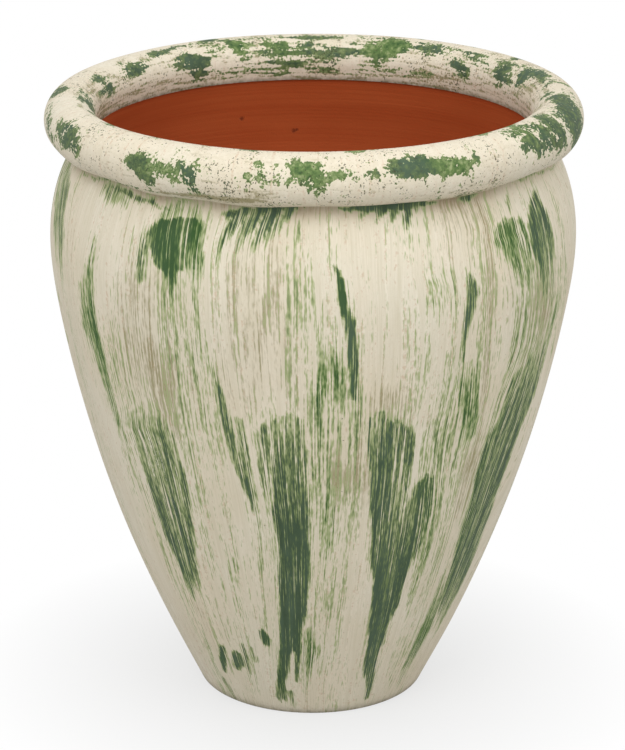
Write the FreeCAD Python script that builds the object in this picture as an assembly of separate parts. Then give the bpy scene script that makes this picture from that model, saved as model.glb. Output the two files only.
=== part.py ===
import FreeCAD, Part
import math
import os

# A floor planter of hand-built terracotta: a tapered jar with a full shoulder and a thick rolled rim.
# It is made of four clay pieces that are keyed and luted together before one firing:
# a base slab with a drain hole, a lower wall, an upper wall and the rim coil.
# The frame has +Z up through the drain hole, and its origin at the middle of the flat foot.

# Driving dimensions, in millimetres
overall_height = 586.0
foot_radius = 108.0
belly_radius = 246.5
wall_thickness = 16.0
base_thickness = 22.0

rim_outer_radius = 250.0
rim_roll_radius = 24.0
rim_neck_turn_deg = 10.0

lip_setback = 3.0
lip_drop = 17.0
lip_ledge = 2.5
lip_edge_radius = 1.0

drain_hole_radius = 12.5
drain_edge_radius = 2.0
foot_edge_radius = 4.0
floor_corner_radius = 12.0
crease_radius = 4.0

base_seam_height = 10.0
wall_seam_height = 292.0
neck_seam_drop = 10.0
key_width = 7.0
key_depth = 5.0

# How far a cutting shape runs past what it cuts
overrun = 20.0

# The outline of the wall from the foot up to its fullest station, the belly: the share of the neck's
# height at each station, and the share of the way out from the foot's radius to the belly's
lower_height_shares = [0.0, 0.121, 0.298, 0.521, 0.726, 0.857]
lower_radius_shares = [0.0, 0.225, 0.516, 0.786, 0.957, 1.0]
# The shoulder's one station between the belly and the neck: its height as a share of the neck's, and
# the share of the way in from the belly's radius to the neck's
shoulder_height_share = 0.940
shoulder_radius_share = 0.37


def point(radius, height):
    """A point of the section, which lies in the XZ plane."""
    return FreeCAD.Vector(radius, 0, height)


def smooth_curve(points):
    """One smooth curve through the points."""
    curve = Part.BSplineCurve()
    curve.interpolate(points)
    return curve


def turned(edges):
    """The solid that a closed section makes, turned once round the planter's axis."""
    face = Part.Face(Part.Wire(edges))
    return face.revolve(FreeCAD.Vector(0, 0, 0), FreeCAD.Vector(0, 0, 1), 360)


def lines(points):
    """The closed outline of straight edges through the points."""
    ends = points[1:] + points[:1]
    return [Part.makeLine(start, end) for start, end in zip(points, ends)]


def ring_edge(solid, radius, height):
    """The circular edge of the solid that lies nearest to the given radius and height."""
    def distance(edge):
        box = edge.BoundBox
        return math.hypot(box.XMax - radius, (box.ZMin + box.ZMax) / 2 - height)
    rings = [edge for edge in solid.Edges if isinstance(edge.Curve, Part.Circle)]
    return min(rings, key=distance)


# The rolled rim, as a circle in the section, and the neck where the shoulder runs in under it
roll_centre_radius = rim_outer_radius - rim_roll_radius
roll_centre_height = overall_height - rim_roll_radius
neck_angle = math.radians(-90 - rim_neck_turn_deg)
neck_radius = roll_centre_radius + rim_roll_radius * math.cos(neck_angle)
neck_height = roll_centre_height + rim_roll_radius * math.sin(neck_angle)


def on_roll(angle):
    """The point of the rim's round section at an angle from the outward direction."""
    return point(
        roll_centre_radius + rim_roll_radius * math.cos(angle),
        roll_centre_height + rim_roll_radius * math.sin(angle),
    )


# The lip inside the throat, where a straight face comes down from the roll as its tangent
lip_radius = roll_centre_radius - rim_roll_radius + lip_setback
lip_height = roll_centre_height - lip_drop
to_lip_radius = lip_radius - roll_centre_radius
to_lip_height = lip_height - roll_centre_height
lip_direction = math.atan2(to_lip_height, to_lip_radius) % math.tau
tangent_turn = math.acos(rim_roll_radius / math.hypot(to_lip_radius, to_lip_height))
tangent_angle = lip_direction - tangent_turn


def outer_stations():
    """The points of the outside wall, from the foot to the neck."""
    points = [
        point(foot_radius + share * (belly_radius - foot_radius), height * neck_height)
        for height, share in zip(lower_height_shares, lower_radius_shares)
    ]
    shoulder = belly_radius + shoulder_radius_share * (neck_radius - belly_radius)
    points.append(point(shoulder, shoulder_height_share * neck_height))
    points.append(on_roll(neck_angle))
    return points


def inner_curve(outer_curve):
    """The inside of the wall: one wall thickness in from the outside, up to the ledge under the lip."""
    points = []
    for station in outer_stations()[:-1]:
        along = outer_curve.tangent(outer_curve.parameter(station))[0]
        inward = FreeCAD.Vector(-along.z, 0, along.x)
        points.append(station + inward * wall_thickness)
    points.append(point(lip_radius + lip_ledge, lip_height))
    return smooth_curve(points)


def floor_meeting(curve):
    """The parameter at which the inside curve rises through the floor, found by halving."""
    low = curve.FirstParameter
    high = curve.LastParameter
    while high - low > curve.LastParameter * 1e-9:
        middle = (low + high) / 2
        if curve.value(middle).z < base_thickness:
            low = middle
        else:
            high = middle
    return high


def whole_planter():
    """The planter as it stands after firing, before it is divided at its seams."""
    outside = smooth_curve(outer_stations())
    inside = inner_curve(outside)
    inside.segment(floor_meeting(inside), inside.LastParameter)
    floor_edge = inside.value(inside.FirstParameter)
    ledge = inside.value(inside.LastParameter)
    lip = point(lip_radius, lip_height)
    foot = point(foot_radius, 0)
    roll = Part.Arc(on_roll(neck_angle), on_roll(math.pi / 2), on_roll(tangent_angle))
    hole_top = point(drain_hole_radius, floor_edge.z)
    hole_bottom = point(drain_hole_radius, 0)
    section = [
        Part.makeLine(hole_bottom, foot),
        outside.toShape(),
        roll.toShape(),
        Part.makeLine(on_roll(tangent_angle), lip),
        Part.makeLine(lip, ledge),
        inside.toShape(),
        Part.makeLine(floor_edge, hole_top),
        Part.makeLine(hole_top, hole_bottom),
    ]
    solid = turned(section)
    rounded = [
        (foot_radius, 0, foot_edge_radius),
        (floor_edge.x, floor_edge.z, floor_corner_radius),
        (lip_radius, lip_height, lip_edge_radius),
        (neck_radius, neck_height, crease_radius),
        (drain_hole_radius, 0, drain_edge_radius),
        (drain_hole_radius, base_thickness, drain_edge_radius),
    ]
    for radius, height, size in rounded:
        solid = solid.makeFillet(size, [ring_edge(solid, radius, height)])
    return solid, floor_edge.x


# A radius outside the whole planter, from which the seams are cut
seam_reach = max(rim_outer_radius, belly_radius) + overrun


def below(seam):
    """Everything under a seam, which is given as section points from outside the wall to the axis."""
    bottom = [point(0, -overrun), point(seam_reach, -overrun)]
    return turned(lines(bottom + seam))


def base_seam(floor_radius):
    """The step on which the lower wall stands, round the raised middle of the base slab."""
    step_radius = floor_radius - floor_corner_radius
    return [
        point(seam_reach, base_seam_height),
        point(step_radius, base_seam_height),
        point(step_radius, base_thickness + overrun),
        point(0, base_thickness + overrun),
    ]


def keyed_seam(height, middle_radius):
    """A level seam whose upper piece has a V-shaped key, in the groove of the piece below."""
    return [
        point(seam_reach, height),
        point(middle_radius + key_width / 2, height),
        point(middle_radius, height - key_depth),
        point(middle_radius - key_width / 2, height),
        point(0, height),
    ]


def mid_wall_radius(solid, height):
    """The radius of the middle of the wall at a height, measured across the wall."""
    across = Part.makeLine(point(0, height), point(seam_reach, height)).common(solid)
    return (across.BoundBox.XMin + across.BoundBox.XMax) / 2


def clay_pieces():
    """The four clay pieces, by name, each bounded by the same seams as its neighbours."""
    solid, floor_radius = whole_planter()
    neck_seam_height = neck_height - neck_seam_drop
    under_base_seam = below(base_seam(floor_radius))
    under_wall_seam = below(keyed_seam(wall_seam_height, mid_wall_radius(solid, wall_seam_height)))
    under_neck_seam = below(keyed_seam(neck_seam_height, mid_wall_radius(solid, neck_seam_height)))
    return {
        "base_slab": solid.common(under_base_seam),
        "lower_wall": solid.common(under_wall_seam).cut(under_base_seam),
        "upper_wall": solid.common(under_neck_seam).cut(under_wall_seam),
        "rim_coil": solid.cut(under_neck_seam),
    }


def main():
    os.makedirs("parts", exist_ok=True)
    for name, shape in clay_pieces().items():
        shape.Solids[0].exportStep(os.path.join("parts", name + ".step"))
        box = shape.BoundBox
        print(f"{name}: {len(shape.Solids)} solid, {shape.Volume / 1000:.1f} cm3, "
              f"z {box.ZMin:.2f} to {box.ZMax:.2f}, radius {box.XMax:.2f}, valid {shape.isValid()}")


main()
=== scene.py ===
"""Visual model of a large rolled-rim terracotta floor planter, limewashed and brushed in greens.

The planter is turned clay: every piece is a section spun round the upright axis, then nudged out of
true as a hand-built pot is. Its paint is laid on stroke by stroke. The strokes of the seen side were
placed on the photograph and are cast from its camera onto the clay; the unseen side gets strokes
of the same kind from a seeded draw. Each stroke only says how much paint the brush carried there, and
the material breaks that into bristle lines, ragged edges and specks.
"""
import logging
import math
import random
from dataclasses import dataclass, field
from enum import Enum

import bmesh
import bpy
import numpy as np
from mathutils import Matrix, Vector
from mathutils.bvhtree import BVHTree

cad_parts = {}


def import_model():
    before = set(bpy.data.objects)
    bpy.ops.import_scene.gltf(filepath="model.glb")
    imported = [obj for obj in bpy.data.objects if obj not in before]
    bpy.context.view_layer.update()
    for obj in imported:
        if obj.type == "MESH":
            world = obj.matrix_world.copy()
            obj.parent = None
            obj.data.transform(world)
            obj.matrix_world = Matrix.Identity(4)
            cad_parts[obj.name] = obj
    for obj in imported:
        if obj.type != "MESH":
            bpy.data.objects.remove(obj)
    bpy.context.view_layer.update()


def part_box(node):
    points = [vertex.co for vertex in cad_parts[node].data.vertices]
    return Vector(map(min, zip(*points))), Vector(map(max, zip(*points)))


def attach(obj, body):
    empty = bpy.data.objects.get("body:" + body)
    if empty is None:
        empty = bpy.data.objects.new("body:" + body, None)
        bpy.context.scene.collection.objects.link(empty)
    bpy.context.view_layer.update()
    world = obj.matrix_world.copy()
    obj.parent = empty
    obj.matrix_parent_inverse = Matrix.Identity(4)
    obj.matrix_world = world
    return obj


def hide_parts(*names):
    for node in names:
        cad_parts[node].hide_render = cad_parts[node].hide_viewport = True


log = logging.getLogger("planter")

MM = 0.001
FULL_TURN = 2 * math.pi

# Points of a section that lie nearer together than this are one, and so are spun vertices
SAME_POINT = 0.01 * MM
SAME_VERTEX = 0.02 * MM

# A channel's full value, and the screen's curve: the end and the slope of its straight foot, then the
# offset, the scale and the power of the rest
FULL_CHANNEL = 255
FOOT_END = 0.04045
FOOT_SLOPE = 12.92
CURVE_OFFSET = 0.055
CURVE_SCALE = 1.055
CURVE_POWER = 2.4

# The Mix node's colour sockets, by number, because its numbers and vectors have sockets of the same names
MIX_SHARE = 0
MIX_FIRST = 6
MIX_SECOND = 7
MIX_RESULT = 2


def linear(value: int) -> float:
    """One channel of a colour, out of 255, without the screen's curve."""
    share = value / FULL_CHANNEL
    return share / FOOT_SLOPE if share <= FOOT_END else ((share + CURVE_OFFSET) / CURVE_SCALE) ** CURVE_POWER


def srgb(red: int, green: int, blue: int) -> tuple[float, float, float, float]:
    """A colour as the eye names it, out of 255, turned into the linear values that a shader takes."""
    return (linear(red), linear(green), linear(blue), 1.0)


class Pigment(Enum):
    """What a stroke leaves on the clay: each is a point attribute that the paint's material reads."""

    DARK = "dark_green"
    MID = "mid_green"
    PALE = "pale_green"
    GRIME = "olive_grime"
    WHITE = "white_drag"


@dataclass(frozen=True)
class Stroke:
    """One pull of a brush, or one dab.

    Each touch is (x, y, width, load): a place in the photograph in pixels, the width of the mark on
    the clay in millimetres, and how much paint the brush still carries, from 0, dry, to 1, full. A
    load past 1 is paint so thick that its bristle lines close up.
    """

    pigment: Pigment
    touches: tuple[tuple[float, float, float, float], ...]
    edge: float = 5.0


@dataclass(frozen=True)
class LaidStroke:
    """A stroke on the clay: angles about the axis, distances down the outside, widths and loads."""

    pigment: Pigment
    angles: np.ndarray
    runs: np.ndarray
    widths: np.ndarray
    loads: np.ndarray
    edge: float


@dataclass
class PhotoView:
    """The camera that took the photograph, in the planter's own frame."""

    distance: float = 2945.5 * MM
    aim_height: float = 280 * MM
    elevation_deg: float = 19.70
    focal_pixels: float = 3069.8
    axis_x: float = 312.5
    axis_y: float = 399.85
    roll_deg: float = 0.28
    frame_width: int = 625
    frame_height: int = 750
    sensor: float = 36.0
    clip_near: float = 0.1
    clip_far: float = 60.0
    matrix: Matrix = field(init=False)

    def __post_init__(self) -> None:
        """Works out where the camera stands and how it is turned."""
        elevation = math.radians(self.elevation_deg)
        place = Vector((0, -self.distance * math.cos(elevation),
                        self.aim_height + self.distance * math.sin(elevation)))
        raised = math.atan((self.axis_y - self.frame_height / 2) / self.focal_pixels)
        pitch = Matrix.Rotation(math.pi / 2 - elevation + raised, 4, "X")
        roll = Matrix.Rotation(math.radians(self.roll_deg), 4, "Z")
        self.matrix = Matrix.Translation(place) @ pitch @ roll

    def ray(self, x: float, y: float) -> tuple[Vector, Vector]:
        """The line of sight through a pixel.

        Args:
            x: Pixels from the photograph's left edge.
            y: Pixels from its top edge.

        Returns:
            The camera's place and the unit direction of sight.
        """
        across = (x - self.axis_x) / self.focal_pixels
        up = (self.frame_height / 2 - y) / self.focal_pixels
        direction = self.matrix.to_3x3() @ Vector((across, up, -1))
        return self.matrix.translation.copy(), direction.normalized()

    def build(self) -> bpy.types.Object:
        """Makes the camera and gives it to the scene.

        Returns:
            The camera object.
        """
        lens = bpy.data.cameras.new("photo_camera")
        lens.sensor_width = self.sensor
        lens.lens = self.focal_pixels / max(self.frame_width, self.frame_height) * self.sensor
        lens.clip_start = self.clip_near
        lens.clip_end = self.clip_far
        camera = bpy.data.objects.new("photo_camera", lens)
        camera.matrix_world = self.matrix
        bpy.context.scene.collection.objects.link(camera)
        bpy.context.scene.camera = camera
        return camera


class SmoothLine:
    """A smooth curve through stations of the section, with continuous bend."""

    def __init__(self, stations: list[tuple[float, float]]) -> None:
        """Fits a natural cubic through the stations, spaced by their chords.

        Args:
            stations: Radius and height of each station, in order.
        """
        self.points = np.array(stations, dtype=float)
        chords = np.hypot(*np.diff(self.points, axis=0).T)
        self.knots = np.concatenate([[0.0], np.cumsum(chords)])
        count = len(stations)
        system = np.eye(count)
        target = np.zeros((count, 2))
        for i in range(1, count - 1):
            before, after = chords[i - 1], chords[i]
            system[i, i - 1:i + 2] = before, 2 * (before + after), after
            slopes = np.diff(self.points[i - 1:i + 2], axis=0) / np.array([[before], [after]])
            target[i] = 6 * (slopes[1] - slopes[0])
        self.bends = np.linalg.solve(system, target)

    def at(self, run: float) -> tuple[float, float]:
        """The point at a distance along the chords.

        Args:
            run: The distance.

        Returns:
            The point's radius and height.
        """
        i = int(np.clip(np.searchsorted(self.knots, run) - 1, 0, len(self.knots) - 2))
        step = self.knots[i + 1] - self.knots[i]
        b = (run - self.knots[i]) / step
        a = 1 - b
        curve = ((a ** 3 - a) * self.bends[i] + (b ** 3 - b) * self.bends[i + 1]) * step ** 2 / 6
        radius, height = a * self.points[i] + b * self.points[i + 1] + curve
        return float(radius), float(height)

    def sampled(self, spacing: float) -> list[tuple[float, float]]:
        """Points along the whole curve, about one spacing apart."""
        count = max(2, round(self.knots[-1] / spacing))
        return [self.at(self.knots[-1] * i / count) for i in range(count + 1)]


def arc(centre: tuple[float, float], radius: float, start: float, end: float,
        spacing: float) -> list[tuple[float, float]]:
    """Points along a round stretch of the section.

    Args:
        centre: Radius and height of its centre.
        radius: Its own radius.
        start: Angle at which it starts, from the outward direction.
        end: Angle at which it ends.
        spacing: Distance between points.

    Returns:
        The points, both ends included.
    """
    count = max(2, math.ceil(abs(end - start) * radius / spacing))
    angles = [start + (end - start) * i / count for i in range(count + 1)]
    return [(centre[0] + radius * math.cos(a), centre[1] + radius * math.sin(a)) for a in angles]


def straight(start: tuple[float, float], end: tuple[float, float],
             spacing: float) -> list[tuple[float, float]]:
    """Points along a straight stretch of the section, both ends included."""
    count = max(1, math.ceil(math.dist(start, end) / spacing))
    return [tuple(a + (b - a) * i / count for a, b in zip(start, end)) for i in range(count + 1)]


def joined(*stretches: list[tuple[float, float]]) -> list[tuple[float, float]]:
    """Stretches put end to end, with each shared point once.

    Args:
        stretches: The stretches, in order.

    Returns:
        Their points as one line.
    """
    points: list[tuple[float, float]] = []
    for stretch in stretches:
        for point in stretch:
            if not points or math.dist(points[-1], point) > SAME_POINT:
                points.append(point)
    return points


@dataclass
class Section:
    """The planter's section: what is spun round the axis.

    All sizes are metres, apart from the shares. The CAD frame gives the overall ones and the seams.
    """

    overall_height: float
    rim_radius: float
    wall_seam: float
    neck_seam: float
    base_seam: float
    foot_radius: float = 108.0 * MM
    belly_radius: float = 246.5 * MM
    wall_thickness: float = 16.0 * MM
    base_thickness: float = 22.0 * MM
    roll_radius: float = 24.0 * MM
    neck_turn_deg: float = 10.0
    lip_setback: float = 3.0 * MM
    lip_drop: float = 17.0 * MM
    lip_ledge: float = 2.5 * MM
    hole_radius: float = 12.5 * MM
    hole_edge: float = 2.0 * MM
    foot_edge: float = 4.0 * MM
    floor_corner: float = 12.0 * MM
    floor_run: float = 1.5
    floor_clear: float = 0.5 * MM
    corner_points: int = 3
    crease_spread: float = 11.0 * MM
    key_width: float = 7.0 * MM
    key_depth: float = 5.0 * MM
    outer_spacing: float = 2.5 * MM
    inner_spacing: float = 9.0 * MM
    lower_height_shares: tuple[float, ...] = (0.0, 0.121, 0.298, 0.521, 0.726, 0.857)
    lower_radius_shares: tuple[float, ...] = (0.0, 0.225, 0.516, 0.786, 0.957, 1.0)
    shoulder_height_share: float = 0.940
    shoulder_radius_share: float = 0.37

    def __post_init__(self) -> None:
        """Works out the rim, the neck, the lip and both walls."""
        self.roll_centre = (self.rim_radius - self.roll_radius, self.overall_height - self.roll_radius)
        self.neck_angle = -math.pi / 2 - math.radians(self.neck_turn_deg)
        self.neck = self.on_roll(self.neck_angle)
        self.lip = (self.roll_centre[0] - self.roll_radius + self.lip_setback,
                    self.roll_centre[1] - self.lip_drop)
        across = self.lip[0] - self.roll_centre[0]
        up = self.lip[1] - self.roll_centre[1]
        turn = math.acos(self.roll_radius / math.hypot(across, up))
        self.lip_angle = math.atan2(up, across) % FULL_TURN - turn
        stations = [
            (self.foot_radius + share * (self.belly_radius - self.foot_radius), height * self.neck[1])
            for height, share in zip(self.lower_height_shares, self.lower_radius_shares)
        ]
        shoulder = self.belly_radius + self.shoulder_radius_share * (self.neck[0] - self.belly_radius)
        stations.append((shoulder, self.shoulder_height_share * self.neck[1]))
        stations.append(self.neck)
        self.outer_curve = SmoothLine(stations)
        inner = []
        for knot in self.outer_curve.knots[:-1]:
            radius, height = self.outer_curve.at(knot)
            near = self.outer_curve.at(knot + MM)
            along = np.array([near[0] - radius, near[1] - height]) / math.dist(near, (radius, height))
            inner.append((radius - along[1] * self.wall_thickness, height + along[0] * self.wall_thickness))
        inner.append((self.lip[0] + self.lip_ledge, self.lip[1]))
        self.inner_curve = SmoothLine(inner)

    def on_roll(self, angle: float) -> tuple[float, float]:
        """The point of the rim's round at an angle from the outward direction."""
        return (self.roll_centre[0] + self.roll_radius * math.cos(angle),
                self.roll_centre[1] + self.roll_radius * math.sin(angle))

    def eased(self, points: list[tuple[float, float]], middle: tuple[float, float],
              reach: float) -> list[tuple[float, float]]:
        """Rounds an inward corner: the points near it move onto an even blend of its two sides.

        Args:
            points: A stretch of the section with the corner somewhere inside.
            middle: The corner.
            reach: How far the rounding reaches along each side.

        Returns:
            The same points, with the corner rounded.
        """
        line = np.array(points)
        runs = np.concatenate([[0.0], np.cumsum(np.hypot(*np.diff(line, axis=0).T))])
        corner = runs[int(np.argmin(np.hypot(*(line - np.array(middle)).T)))]
        start, end = corner - reach, corner + reach
        sides = [np.array([np.interp(run, runs, line[:, k]) for k in range(2)]) for run in (start, end)]
        peak = np.array([np.interp(corner, runs, line[:, k]) for k in range(2)])
        eased = []
        for run, point in zip(runs, line):
            if start < run < end:
                t = (run - start) / (end - start)
                point = (1 - t) ** 2 * sides[0] + 2 * t * (1 - t) * peak + t ** 2 * sides[1]
            eased.append(tuple(float(value) for value in point))
        return eased

    def outside(self) -> list[tuple[float, float]]:
        """The painted outside, from the lip in the throat over the roll and down to the foot's edge.

        Returns:
            Its points, from the lip down.
        """
        space = self.outer_spacing
        over = arc(self.roll_centre, self.roll_radius, self.lip_angle, self.neck_angle, space)
        wall = self.outer_curve.sampled(space)[::-1]
        upper = joined(straight(self.lip, self.on_roll(self.lip_angle), space), over, wall)
        upper = self.eased(upper, self.neck, self.crease_spread)
        foot = self.foot_corner()
        return [point for point in upper if point[1] > foot[0][1] + space / 2] + foot

    def foot_corner(self) -> list[tuple[float, float]]:
        """The eased edge of the foot.

        Returns:
            Its points, from the wall round to the flat underside.
        """
        lean = math.atan2(*[b - a for a, b in zip(self.outer_curve.at(0), self.outer_curve.at(MM))])
        centre = (self.foot_radius - self.foot_edge / math.cos(lean) + self.foot_edge * math.tan(lean),
                  self.foot_edge)
        return arc(centre, self.foot_edge, -lean, -math.pi / 2, MM)

    def inside(self) -> list[tuple[float, float]]:
        """The bare inside wall, with the rounded corner where it meets the floor.

        Returns:
            Its points, from the floor up to the ledge under the lip.
        """
        wall = self.inner_curve.sampled(self.inner_spacing)
        wall = [point for point in wall if point[1] > self.base_thickness + self.floor_clear]
        dense = self.inner_curve.sampled(MM)
        start = min(dense, key=lambda point: abs(point[1] - self.base_thickness))
        corner = (start[0], self.base_thickness)
        floor_start = (corner[0] - self.floor_corner * self.floor_run, self.base_thickness)
        rest = wall[self.corner_points:]
        both = joined(straight(floor_start, corner, MM), straight(corner, rest[0], MM))
        return joined(self.eased(both, corner, self.floor_corner), rest)


def split_at(points: list[tuple[float, float]],
             height: float) -> tuple[list[tuple[float, float]], list[tuple[float, float]]]:
    """Cuts a stretch that climbs or drops through a height.

    Args:
        points: The stretch.
        height: Where it is cut.

    Returns:
        The part before the cut and the part after it, both with the cutting point.

    Raises:
        ValueError: The stretch never passes the height.
    """
    for i, (low, high) in enumerate(zip(points, points[1:])):
        if (low[1] - height) * (high[1] - height) <= 0 and low[1] != high[1]:
            share = (height - low[1]) / (high[1] - low[1])
            cut = (low[0] + share * (high[0] - low[0]), height)
            return joined(points[:i + 1], [cut]), joined([cut], points[i + 1:])
    raise ValueError(f"the section never passes height {height}")


# The pigments by their bare names, so that the strokes below stay short
DARK, MID, PALE, GRIME, WHITE = Pigment

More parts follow.
